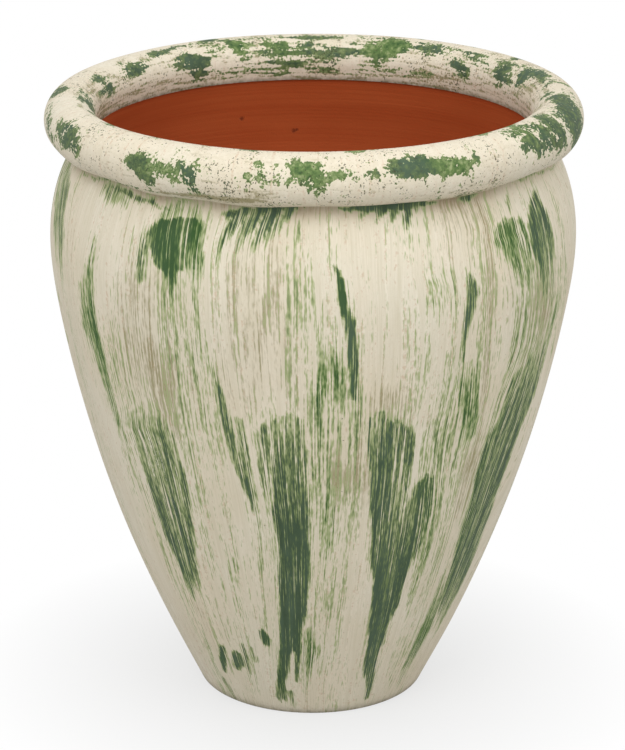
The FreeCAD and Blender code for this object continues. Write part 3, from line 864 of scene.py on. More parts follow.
@dataclass
class Outline:
    """The outside as one line, so that any place on it has a distance down from the lip."""

    points: np.ndarray

    def __post_init__(self) -> None:
        """Works out the distance to each point."""
        steps = np.hypot(*np.diff(self.points, axis=0).T)
        self.runs = np.concatenate([[0.0], np.cumsum(steps)])

    def run_at(self, radius: float, height: float) -> float:
        """The distance down the outside to the place nearest to a point of the section.

        Args:
            radius: The point's radius.
            height: Its height.

        Returns:
            The distance from the lip.
        """
        start, end = self.points[:-1], self.points[1:]
        along = end - start
        length = np.maximum((along ** 2).sum(axis=1), MM ** 3)
        share = np.clip(((np.array([radius, height]) - start) * along).sum(axis=1) / length, 0, 1)
        nearest = start + share[:, None] * along
        gaps = np.hypot(*(nearest - np.array([radius, height])).T)
        i = int(np.argmin(gaps))
        return float(self.runs[i] + share[i] * (self.runs[i + 1] - self.runs[i]))

    def radius_at(self, run: np.ndarray | float) -> np.ndarray:
        """The radius at distances down the outside."""
        return np.interp(run, self.runs, self.points[:, 0])


@dataclass
class Unevenness:
    """A smooth uneven field over the outside, from -1 to 1: where the hand and the bristles strayed."""

    around: int
    down: float
    seed: int
    bands: int = 40
    last_band_short: float = 1.001

    def __post_init__(self) -> None:
        """Draws the field."""
        draw = random.Random(self.seed)
        self.grid = np.array([[draw.uniform(-1, 1) for _ in range(self.around)] for _ in range(self.bands)])

    def at(self, angle: np.ndarray, run: np.ndarray) -> np.ndarray:
        """The field at each place. The lowest place stays short of the last band, which it reads too.

        Args:
            angle: Angles about the axis.
            run: Distances down the outside.

        Returns:
            One value for each place.
        """
        column = angle % FULL_TURN / FULL_TURN * self.around
        row = np.clip(run / self.down, 0, self.bands - self.last_band_short)
        left, top = np.floor(column).astype(int), np.floor(row).astype(int)
        across, below = column - left, row - top
        left = left % self.around
        right = (left + 1) % self.around
        upper = self.grid[top, left] * (1 - across) + self.grid[top, right] * across
        lower = self.grid[top + 1, left] * (1 - across) + self.grid[top + 1, right] * across
        return upper * (1 - below) + lower * below


@dataclass(frozen=True)
class UnseenKind:
    """The ranges that one kind of stroke is drawn from, on the side that the photograph doesn't show.

    Starts and lengths are shares of the wall from the crease to the foot, widths are millimetres, and
    spots are shares of a stroke's own slice of the half turn.
    """

    count: int
    pigments: tuple[Pigment, ...]
    starts: tuple[float, float]
    lengths: tuple[float, float]
    widths: tuple[float, float]
    loads: tuple[float, float]
    spots: tuple[float, float] = (0.0, 1.0)


@dataclass(frozen=True)
class UnseenDabs:
    """The ranges that dabs on the roll's unseen parts are drawn from, as shares of the way over it."""

    count: int = 44
    pigments: tuple[Pigment, ...] = (Pigment.DARK, Pigment.DARK, Pigment.MID)
    on_back: tuple[float, float] = (0.42, 0.95)
    in_throat: tuple[float, float] = (0.05, 0.4)
    widths: tuple[float, float] = (8.0, 30.0)
    stretches: tuple[float, float] = (0.5, 1.6)
    tilts: tuple[float, float] = (-4.0, 4.0)
    loads: tuple[float, float] = (0.6, 1.0)
    end_width: float = 0.5
    end_load: float = 0.6
    edge: float = 6 * MM


@dataclass
class Painter:
    """Lays strokes on the clay and says how much of each pigment every point has."""

    outline: Outline
    view: PhotoView
    shaping: HandShaping
    rim_end: float
    steps: int = 240
    wedges: int = 12
    seed: int = 21
    slip_step: float = 0.5
    slip_tries: int = 24
    drag_reach: float = 26 * MM
    drag_tail: float = 110 * MM
    drag_weight: float = 6.0
    drag_start: float = 12 * MM
    halo_share: float = 0.30
    halo_reach: float = 9 * MM
    halo_end: float = 3.0
    edge_gain: float = 1.9
    teeth: Unevenness = field(default_factory=lambda: Unevenness(300, 70 * MM, 31))
    steps_of_brush: Unevenness = field(default_factory=lambda: Unevenness(90, 90 * MM, 32))
    sway: Unevenness = field(default_factory=lambda: Unevenness(64, 24 * MM, 33))
    teeth_reach: float = 9 * MM
    step_reach: float = 8 * MM
    sway_reach: float = 2.6 * MM
    rim_share: float = 0.3
    full_stroke: float = 160 * MM
    least_stray: float = 0.2
    washes: UnseenKind = UnseenKind(
        20, (Pigment.PALE,), (0.02, 0.4), (0.35, 0.75), (38, 68), (0.75, 1.1))
    pulls: UnseenKind = UnseenKind(
        15, (Pigment.DARK, Pigment.DARK, Pigment.DARK, Pigment.MID),
        (0.03, 0.55), (0.24, 0.5), (16, 50), (0.9, 1.15), spots=(0.1, 0.9))
    lines: UnseenKind = UnseenKind(
        36, (Pigment.DARK, Pigment.MID, Pigment.MID, Pigment.GRIME),
        (0.02, 0.7), (0.1, 0.34), (4, 12), (0.6, 1.1))
    dabs: UnseenDabs = UnseenDabs()
    under_start: float = 0.05
    under_length: float = 1.15
    under_width: float = 1.35
    under_load: float = 0.6
    pull_shares: tuple[float, ...] = (0.0, 0.15, 0.5, 0.85, 1.0)
    pull_widths: tuple[float, ...] = (0.85, 1.0, 0.95, 0.75, 0.4)
    pull_loads: tuple[float, ...] = (0.95, 1.0, 0.95, 0.8, 0.4)
    pull_drift: float = 0.08
    pull_edges: tuple[float, float] = (2.0, 4.5)
    foot_clear: float = 12 * MM
    laid: list[LaidStroke] = field(default_factory=list)

    def __post_init__(self) -> None:
        """Measures the wall and makes the plain solid of turning that lines of sight are cast on."""
        self.wall = float(self.outline.runs[-1]) - self.rim_end
        form = turned([tuple(point) for point in self.outline.points], self.steps, self.wedges)
        places = np.array([vertex.co for vertex in form.verts])
        for vertex, place in zip(form.verts, self.shaping.shape(places)):
            vertex.co = place
        self.tree = BVHTree.FromBMesh(form)
        form.free()

    def place(self, x: float, y: float) -> tuple[float, float]:
        """Where a pixel of the photograph lies on the clay.

        Args:
            x: Pixels from the left edge. A pixel just off the outline slips towards the axis.
            y: Pixels from the top edge.

        Returns:
            The angle about the axis and the distance down the outside.
        """
        inward = math.copysign(self.slip_step, self.view.axis_x - x)
        for attempt in range(self.slip_tries):
            hit = self.tree.ray_cast(*self.view.ray(x + inward * attempt, y))[0]
            if hit is not None:
                return math.atan2(hit.y, hit.x), self.outline.run_at(math.hypot(hit.x, hit.y), hit.z)
        raise ValueError(f"pixel {x}, {y} doesn't fall on the planter")

    def lay(self, stroke: Stroke) -> None:
        """Casts a stroke of the photographed side onto the clay.

        Args:
            stroke: The stroke.
        """
        spots = [self.place(x, y) for x, y, _, _ in stroke.touches]
        angles = np.unwrap([angle for angle, _ in spots])
        self.laid.append(LaidStroke(
            stroke.pigment, angles, np.array([run for _, run in spots]),
            np.array([width * MM for _, _, width, _ in stroke.touches]),
            np.array([load for _, _, _, load in stroke.touches]), stroke.edge * MM))

    def lay_unseen(self) -> None:
        """Draws strokes like the photographed ones for the side that the photograph doesn't show."""
        draw = random.Random(self.seed)
        for i in range(self.washes.count):
            angle, start = self.unseen_spot(draw, self.washes, i)
            self.lay_down(draw, self.washes.pigments[0], angle, start,
                          draw.uniform(*self.washes.lengths) * self.wall,
                          draw.uniform(*self.washes.widths) * MM, draw.uniform(*self.washes.loads))
        for i in range(self.pulls.count):
            angle, start = self.unseen_spot(draw, self.pulls, i)
            length = draw.uniform(*self.pulls.lengths) * self.wall
            width = draw.uniform(*self.pulls.widths) * MM
            self.lay_down(draw, Pigment.MID, angle, start + self.under_start * self.wall,
                          length * self.under_length, width * self.under_width, self.under_load)
            self.lay_down(draw, draw.choice(self.pulls.pigments), angle, start, length, width,
                          draw.uniform(*self.pulls.loads))
        for i in range(self.lines.count):
            angle, start = self.unseen_spot(draw, self.lines, i)
            self.lay_down(draw, draw.choice(self.lines.pigments), angle, start,
                          draw.uniform(*self.lines.lengths) * self.wall,
                          draw.uniform(*self.lines.widths) * MM, draw.uniform(*self.lines.loads))
        for i in range(self.dabs.count):
            self.dab(draw, math.radians(360 * (i + draw.random()) / self.dabs.count))

    def unseen_spot(self, draw: random.Random, kind: UnseenKind, i: int) -> tuple[float, float]:
        """Where an unseen stroke starts. The strokes of a kind share the half turn between them.

        Args:
            draw: The seeded draw.
            kind: The kind of stroke.
            i: Which of its kind the stroke is.

        Returns:
            The angle about the axis and the distance down the outside.
        """
        angle = math.pi * (i + draw.uniform(*kind.spots)) / kind.count
        return angle, self.rim_end + draw.uniform(*kind.starts) * self.wall

    def dab(self, draw: random.Random, angle: float) -> None:
        """Dabs the roll: its back on the unseen side, and the throat on the seen one.

        Args:
            draw: The seeded draw.
            angle: Angle about the axis at the dab's middle.
        """
        dabs = self.dabs
        run = draw.uniform(*dabs.on_back) * self.rim_end
        if angle > math.pi:
            run = draw.uniform(*dabs.in_throat) * self.rim_end
        width = draw.uniform(*dabs.widths) * MM
        reach = draw.uniform(*dabs.stretches) * width / self.outline.radius_at(run)
        angles = np.array([angle - reach / 2, angle, angle + reach / 2])
        self.laid.append(LaidStroke(
            draw.choice(dabs.pigments), angles, run + np.array([draw.uniform(*dabs.tilts) * MM, 0, 0]),
            width * np.array([dabs.end_width, 1, dabs.end_width]),
            np.array([dabs.end_load, draw.uniform(*dabs.loads), dabs.end_load]), dabs.edge))

    def lay_down(self, draw: random.Random, pigment: Pigment, angle: float, start: float,
                 length: float, width: float, load: float) -> None:
        """Adds one downward pull that drifts a little, swells and runs dry.

        Args:
            draw: The seeded draw.
            pigment: What the brush carries.
            angle: Angle about the axis at its start.
            start: Distance down the outside at its start.
            length: How far it is pulled.
            width: Its width where it is widest.
            load: How full the brush is.
        """
        shares = np.array(self.pull_shares)
        drift = draw.uniform(-self.pull_drift, self.pull_drift)
        end = float(self.outline.runs[-1]) - self.foot_clear
        runs = np.minimum(start + shares * length, end)
        self.laid.append(LaidStroke(
            pigment, angle + drift * shares, runs, width * np.array(self.pull_widths),
            load * np.array(self.pull_loads), draw.uniform(*self.pull_edges) * MM))

    def cover(self, angle: np.ndarray, run: np.ndarray) -> dict[Pigment, np.ndarray]:
        """How much paint of each kind lies at each place.

        Args:
            angle: Angles about the axis.
            run: Distances down the outside.

        Returns:
            One amount for each place, from 0 to 1, for each pigment.
        """
        radius = self.outline.radius_at(run)
        amounts = {pigment: np.zeros_like(angle) for pigment in Pigment}
        share = np.where(run < self.rim_end, self.rim_share, 1.0)
        stray = (self.teeth_reach * self.teeth.at(angle, run)
                 + self.step_reach * self.steps_of_brush.at(angle, run)) * share
        angle = angle + self.sway_reach * self.sway.at(angle, run) / radius
        for stroke in self.laid:
            length = stroke.runs.max() - stroke.runs.min()
            moved = run + stray * np.clip(length / self.full_stroke, self.least_stray, 1)
            turned, near = self.around(stroke, angle, moved, radius)
            if not near.any():
                continue
            gap, width, load = self.nearest(stroke, turned[near], moved[near], radius[near])
            core = np.clip((width / 2 - gap) / (stroke.edge * self.edge_gain) + 0.5, 0, 1)
            halo = self.halo_share * np.exp(-np.maximum(gap - width / 2, 0) / self.halo_reach)
            amount = load * np.maximum(core, halo)
            layer = amounts[stroke.pigment]
            layer[near] = np.maximum(layer[near], amount)
        return amounts

    def around(self, stroke: LaidStroke, angle: np.ndarray, run: np.ndarray,
               radius: np.ndarray) -> tuple[np.ndarray, np.ndarray]:
        """Which places are near enough to a stroke to be painted by it.

        Args:
            stroke: The stroke.
            angle: Each place's angle about the axis.
            run: Its distance down the outside.
            radius: Its radius.

        Returns:
            Each place's angle counted from the stroke's first touch, and whether it is near.
        """
        turned = (angle - stroke.angles[0] + math.pi) % FULL_TURN - math.pi
        reach = stroke.widths.max() / 2 + stroke.edge * self.edge_gain + self.halo_end * self.halo_reach
        low, high = (stroke.angles - stroke.angles[0]).min(), (stroke.angles - stroke.angles[0]).max()
        near = (run > stroke.runs.min() - reach) & (run < stroke.runs.max() + reach)
        near &= (turned > low - reach / radius) & (turned < high + reach / radius)
        return turned, near

    @staticmethod
    def nearest(stroke: LaidStroke, turned: np.ndarray, run: np.ndarray,
                radius: np.ndarray) -> tuple[np.ndarray, np.ndarray, np.ndarray]:
        """How far each place is from a stroke's line, and what the stroke is like there.

        Args:
            stroke: The stroke.
            turned: Each place's angle, counted from the stroke's first touch.
            run: Its distance down the outside.
            radius: Its radius.

        Returns:
            The distance to the line, and the stroke's width and load where it is nearest.
        """
        best = np.full_like(run, np.inf)
        width = np.zeros_like(run)
        load = np.zeros_like(run)
        across = radius * turned
        for i in range(len(stroke.runs) - 1):
            start = radius * (stroke.angles[i] - stroke.angles[0])
            step = radius * (stroke.angles[i + 1] - stroke.angles[i])
            fall = stroke.runs[i + 1] - stroke.runs[i]
            length = np.maximum(step ** 2 + fall ** 2, MM ** 2)
            share = np.clip(((across - start) * step + (run - stroke.runs[i]) * fall) / length, 0, 1)
            gap = np.hypot(across - start - share * step, run - stroke.runs[i] - share * fall)
            closer = gap < best
            best = np.where(closer, gap, best)
            here = stroke.widths[i] + share * (stroke.widths[i + 1] - stroke.widths[i])
            width = np.where(closer, here, width)
            here = stroke.loads[i] + share * (stroke.loads[i + 1] - stroke.loads[i])
            load = np.where(closer, here, load)
        return best, width, load

    def drag(self, angle: np.ndarray, run: np.ndarray) -> np.ndarray:
        """The angle that each place's bristle line set out from, because lines bend with the strokes.

        Args:
            angle: Angles about the axis.
            run: Distances down the outside.

        Returns:
            One angle for each place.
        """
        radius = self.outline.radius_at(run)
        pull = np.zeros_like(angle)
        weight = np.ones_like(angle)
        for stroke in self.laid:
            if stroke.runs[-1] - stroke.runs[0] < self.drag_reach:
                continue
            if stroke.runs[0] < self.rim_end - self.drag_start:
                continue
            turned = (angle - stroke.angles[0] + math.pi) % FULL_TURN - math.pi
            drift = np.interp(run, stroke.runs, stroke.angles - stroke.angles[0])
            aside = radius * (turned - drift) / self.drag_reach
            beyond = np.maximum(stroke.runs[0] - run, run - stroke.runs[-1]).clip(0) / self.drag_tail
            share = self.drag_weight * np.exp(-aside ** 2 - beyond ** 2)
            pull += share * drift
            weight += share
        return angle - pull / weight


@dataclass
class Potter:
    """Spins the pieces, gives them their paint amounts and brush lines, and unrolls them flat."""

    outline: Outline
    shaping: HandShaping
    painter: Painter
    steps: int = 480
    wedges: int = 20
    corner_deg: float = 32.0
    flow_radius: float = 250 * MM
    margin_share: float = 0.006
    max_fill_share: float = 0.62
    roll_blend: float = 10 * MM
    crease_reach: float = 9 * MM
    lip_wear: float = 3.5 * MM
    foot_wear: float = 7.5 * MM

    def spin(self, piece: Piece) -> bpy.types.Mesh:
        """Spins a piece's section once round the axis.

        Args:
            piece: The piece.

        Returns:
            The true, closed mesh, with its corners marked sharp.
        """
        form = turned(piece.loop, self.steps, self.wedges, closed=True)
        bmesh.ops.recalc_face_normals(form, faces=form.faces)
        mesh = bpy.data.meshes.new(piece.node)
        form.to_mesh(mesh)
        form.free()
        mesh.shade_smooth()
        mesh.set_sharp_from_angle(angle=math.radians(self.corner_deg))
        return mesh

    def build(self, piece: Piece, materials: list[bpy.types.Material]) -> bpy.types.Object:
        """Makes a finished piece and puts it on the planter's body in place of its CAD node.

        Args:
            piece: The piece.
            materials: The painted outside and the bare inside.

        Returns:
            The piece's object.
        """
        mesh = self.spin(piece)
        for material in materials:
            mesh.materials.append(material)
        places = np.empty(len(mesh.vertices) * 3)
        mesh.vertices.foreach_get("co", places)
        places = places.reshape(-1, 3)
        angle = np.arctan2(places[:, 1], places[:, 0])
        row = self.rows(piece, places)
        self.dress(mesh, piece, angle, row)
        mesh.vertices.foreach_set("co", self.shaping.shape(places).ravel())
        mesh.update()
        made = bpy.data.objects.new(f"{piece.node}_clay", mesh)
        bpy.context.scene.collection.objects.link(made)
        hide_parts(piece.node)
        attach(made, "root")
        log.info("%s: %d vertices, %d faces", made.name, len(mesh.vertices), len(mesh.polygons))
        return made

    @staticmethod
    def rows(piece: Piece, places: np.ndarray) -> np.ndarray:
        """Which point of the piece's loop each vertex was spun from.

        Args:
            piece: The piece.
            places: One row of x, y and z for each vertex.

        Returns:
            The number of the point for each vertex.
        """
        loop = np.array(piece.loop)
        radius = np.hypot(places[:, 0], places[:, 1])
        gaps = (radius[:, None] - loop[None, :, 0]) ** 2 + (places[:, 2][:, None] - loop[None, :, 1]) ** 2
        return np.argmin(gaps, axis=1)

    def dress(self, mesh: bpy.types.Mesh, piece: Piece, angle: np.ndarray, row: np.ndarray) -> None:
        """Writes the paint amounts, the brush lines, the materials and the unrolled map.

        Args:
            mesh: The spun mesh.
            piece: The piece.
            angle: Each vertex's angle about the axis.
            row: The point of the loop that each vertex was spun from.
        """
        runs = np.array([self.outline.run_at(*point) for point in piece.loop[:piece.outside_count]])
        outside = row < piece.outside_count
        run = np.where(outside, runs[np.minimum(row, piece.outside_count - 1)], 0.0)
        for pigment, amount in self.painter.cover(angle, run).items():
            self.carry(mesh, pigment.value, np.where(outside, amount, 0.0))
        dragged = self.painter.drag(angle, run)
        flow = np.column_stack([self.flow_radius * np.cos(dragged), self.flow_radius * np.sin(dragged), run])
        layer = mesh.attributes.new("brush_flow", "FLOAT_VECTOR", "POINT")
        layer.data.foreach_set("vector", flow.ravel())
        rim_end = self.painter.rim_end
        foot = self.outline.runs[-1] - run
        worn = np.maximum(np.exp(-(run / self.lip_wear) ** 2), np.exp(-(foot / self.foot_wear) ** 2))
        self.carry(mesh, "on_roll", np.clip((rim_end - run) / self.roll_blend + 0.5, 0, 1) * outside)
        # The band along the crease under the roll: partly grime, partly painted shade where the roll shades
        # the shoulder
        self.carry(mesh, "crease_grime_and_shade", np.exp(-((run - rim_end) / self.crease_reach) ** 2) * outside)
        self.carry(mesh, "worn_edge", worn * outside)
        corners = np.empty(len(mesh.loops), dtype=int)
        mesh.loops.foreach_get("vertex_index", corners)
        starts = np.empty(len(mesh.polygons), dtype=int)
        mesh.polygons.foreach_get("loop_start", starts)
        bare = np.maximum.reduceat((~outside[corners]).astype(int), starts)
        mesh.polygons.foreach_set("material_index", bare)
        self.unroll(mesh, piece, angle, row, corners, starts, bare)

    @staticmethod
    def carry(mesh: bpy.types.Mesh, name: str, values: np.ndarray) -> None:
        """Gives the mesh one number at each point, under the name by which a material reads it."""
        layer = mesh.attributes.new(name, "FLOAT", "POINT")
        layer.data.foreach_set("value", values)

    def unroll(self, mesh: bpy.types.Mesh, piece: Piece, angle: np.ndarray, row: np.ndarray,
               corners: np.ndarray, starts: np.ndarray, bare: np.ndarray) -> None:
        """Lays the piece flat in strips: the outside in a few long ones, the rest in thinner ones.

        Args:
            mesh: The spun mesh.
            piece: The piece.
            angle: Each vertex's angle about the axis.
            row: The point of the loop that each vertex was spun from.
            corners: The vertex of each face corner.
            starts: The first corner of each face.
            bare: 1 for each face that is not part of the painted outside.
        """
        loop = np.array(piece.loop + piece.loop[:1])
        runs = np.concatenate([[0.0], np.cumsum(np.hypot(*np.diff(loop, axis=0).T))])
        edge_run = runs[piece.outside_count - 1]
        counts = np.diff(np.append(starts, len(corners)))
        face_of = np.repeat(np.arange(len(starts)), counts)
        around = np.arctan2(np.add.reduceat(np.sin(angle[corners]), starts),
                            np.add.reduceat(np.cos(angle[corners]), starts)) % FULL_TURN
        turned = around[face_of] + (angle[corners] - around[face_of] + math.pi) % FULL_TURN - math.pi
        along = runs[row[corners]]
        closing = (row[corners] == 0) & (bare[face_of] == 1)
        along = np.where(closing, runs[-1], along)
        radius = float(loop[:piece.outside_count, 0].mean())
        strips = max(1, round(math.sqrt(self.max_fill_share * FULL_TURN * radius / edge_run)))
        bare_strips = strips + 1
        heights = (self.max_fill_share / strips, (1 - self.max_fill_share) / bare_strips)
        is_bare = bare[face_of] == 1
        count = np.where(is_bare, bare_strips, strips)
        strip = np.minimum(np.floor(around[face_of] / FULL_TURN * count), count - 1)
        across = turned / FULL_TURN * count - strip
        share = np.where(is_bare, (along - edge_run) / (runs[-1] - edge_run), along / edge_run)
        height = np.where(is_bare, heights[1], heights[0])
        base = np.where(is_bare, self.max_fill_share, 0.0) + strip * height
        gap = self.margin_share
        u = gap + across * (1 - 2 * gap)
        v = base + gap / 2 + share * (height - gap)
        layer = mesh.uv_layers.new(name="OFBake")
        layer.data.foreach_set("uv", np.column_stack([u, v]).ravel())


class Socket:
    """A value on its way through a material, so that sums are written as Python."""

    def __init__(self, maker: "MaterialMaker", link: bpy.types.NodeSocket) -> None:
        """Holds the output that the value comes from."""
        self.maker = maker
        self.link = link

    def __add__(self, other: "Socket | float") -> "Socket":
        """Sum."""
        return self.maker.maths("ADD", self, other)

    def __radd__(self, other: float) -> "Socket":
        """Sum, the number first."""
        return self.maker.maths("ADD", other, self)

    def __sub__(self, other: "Socket | float") -> "Socket":
        """Difference."""
        return self.maker.maths("SUBTRACT", self, other)

    def __rsub__(self, other: float) -> "Socket":
        """Difference, the number first."""
        return self.maker.maths("SUBTRACT", other, self)

    def __mul__(self, other: "Socket | float") -> "Socket":
        """Product."""
        return self.maker.maths("MULTIPLY", self, other)

    def __rmul__(self, other: float) -> "Socket":
        """Product, the number first."""
        return self.maker.maths("MULTIPLY", other, self)

    def __truediv__(self, other: "Socket | float") -> "Socket":
        """Quotient."""
        return self.maker.maths("DIVIDE", self, other)

    def larger(self, other: "Socket | float") -> "Socket":
        """The larger of two values."""
        return self.maker.maths("MAXIMUM", self, other)

    def clamped(self) -> "Socket":
        """The value kept between 0 and 1."""
        return self.maker.maths("ADD", self, 0.0, clamp=True)

    def spread(self, strength: float = 1.7) -> "Socket":
        """The value pushed apart about its middle, because blending draws noises to the middle."""
        return ((self - 0.5) * strength + 0.5).clamped()

    def towards(self, other: "Socket", share: "Socket") -> "Socket":
        """The value, which goes over into another as the share goes from 0 to 1."""
        return self + (other - self) * share

    def level(self, least: float, more: float) -> "Socket":
        """A level that the value lifts: what it is at least, and how much more where the value is 1."""
        return least + self * more


def blend(values: tuple[Socket, ...], weights: tuple[float, ...]) -> Socket:
    """Values added up, each by its own weight.

    Args:
        values: The values.
        weights: One weight for each.

    Returns:
        The sum.
    """
    total = values[0] * weights[0]
    for value, weight in zip(values[1:], weights[1:]):
        total = total + value * weight
    return total


@dataclass
class MaterialMaker:
    """Builds one material's nodes."""

    name: str
    tree: bpy.types.NodeTree | None = None

    def __post_init__(self) -> None:
        """Starts an empty material, or empties the nodes that it is given."""
        if self.tree is None:
            self.material = bpy.data.materials.new(self.name)
            self.material.use_nodes = True
            self.tree = self.material.node_tree
        self.tree.nodes.clear()

    def seen(self) -> Socket:
        """1 where the camera, a gloss or a glass looks, and 0 for light that falls on things."""
        path = self.node("ShaderNodeLightPath")
        seen = Socket(self, path.outputs["Is Camera Ray"])
        for kind in ("Is Glossy Ray", "Is Transmission Ray"):
            seen = seen.larger(Socket(self, path.outputs[kind]))
        return seen

    def node(self, kind: str, settings: dict[str, object] | None = None,
             inputs: dict[object, object] | None = None) -> bpy.types.Node:
        """Adds any node.

        Args:
            kind: The node's type.
            settings: Its own settings. The name stops sets a ramp's stops.
            inputs: Values or links for its sockets, by name or number.

        Returns:
            The node.
        """
        made = self.tree.nodes.new(kind)
        for name, value in (settings or {}).items():
            setattr(made, name, value)
        for name, value in (inputs or {}).items():
            if isinstance(value, Socket):
                self.tree.links.new(value.link, made.inputs[name])
            else:
                made.inputs[name].default_value = value
        return made

    def maths(self, operation: str, first: Socket | float, second: Socket | float = 0.0,
              clamp: bool = False) -> Socket:
        """One sum on values."""
        made = self.node("ShaderNodeMath", {"operation": operation, "use_clamp": clamp},
                         {0: first, 1: second})
        return Socket(self, made.outputs[0])

    def amount(self, name: str) -> Socket:
        """A number that the mesh carries at its points."""
        made = self.node("ShaderNodeAttribute", {"attribute_name": name})
        return Socket(self, made.outputs["Fac"])

    def vector(self, name: str) -> Socket:
        """A vector that the mesh carries at its points."""
        made = self.node("ShaderNodeAttribute", {"attribute_name": name})
        return Socket(self, made.outputs["Vector"])

    def place(self) -> Socket:
        """The place on the piece, in metres."""
        return Socket(self, self.node("ShaderNodeTexCoord").outputs["Object"])

    def scaled(self, place: Socket, sizes: tuple[float, float, float]) -> Socket:
        """A place divided by a size along each axis."""
        made = self.node("ShaderNodeVectorMath", {"operation": "DIVIDE"}, {0: place, 1: sizes})
        return Socket(self, made.outputs[0])

    def noise(self, place: Socket, sizes: tuple[float, float, float], detail: float = 2.0,
              spread: float = 2.4, roughness: float = 0.55) -> Socket:
        """Noise whose grains have the given sizes, spread to fill 0 to 1.

        Args:
            place: Where on the surface.
            sizes: The size of a grain along each axis, in metres.
            detail: How many finer layers it has.
            spread: How strongly it is pushed apart about its middle.
            roughness: How much of the finer layers shows.

        Returns:
            The noise.
        """
        made = self.node("ShaderNodeTexNoise", None, {
            "Vector": self.scaled(place, sizes), "Scale": 1.0, "Detail": detail,
            "Roughness": roughness})
        return Socket(self, made.outputs[0]).spread(spread)

    def mix(self, share: Socket | float, first: object, second: object) -> Socket:
        """One colour over another, by a share."""
        made = self.node("ShaderNodeMix", {"data_type": "RGBA", "clamp_factor": True},
                         {MIX_SHARE: share, MIX_FIRST: first, MIX_SECOND: second})
        return Socket(self, made.outputs[MIX_RESULT])

    def covered(self, cover: Socket | float, ragged: Socket, softness: float) -> Socket:
        """Where paint lies: everywhere that its amount beats the ragged noise.

        Args:
            cover: The amount, from 0 to 1.
            ragged: The noise that it has to beat.
            softness: How wide the change from bare to painted is.

        Returns:
            The paint's share.
        """
        return ((cover - ragged) / softness + 0.5).clamped()

    def finish(self, colour: Socket, roughness: Socket, bump: Socket, bump_height: float,
               specular: float) -> bpy.types.Material:
        """Joins everything to the surface.

        Args:
            colour: The surface's colour.
            roughness: Its roughness.
            bump: Its relief, from 0 to 1.
            bump_height: What a relief of 1 stands for, in metres.
            specular: How strongly it shines.

        Returns:
            The material.
        """
        relief = self.node("ShaderNodeBump", None,
                           {"Strength": 1.0, "Distance": bump_height, "Height": bump})
        shader = self.node("ShaderNodeBsdfPrincipled", None, {
            "Base Color": colour, "Roughness": roughness, "Specular IOR Level": specular,
            "Normal": Socket(self, relief.outputs[0])})
        self.node("ShaderNodeOutputMaterial", None, {0: Socket(self, shader.outputs[0])})
        return self.material


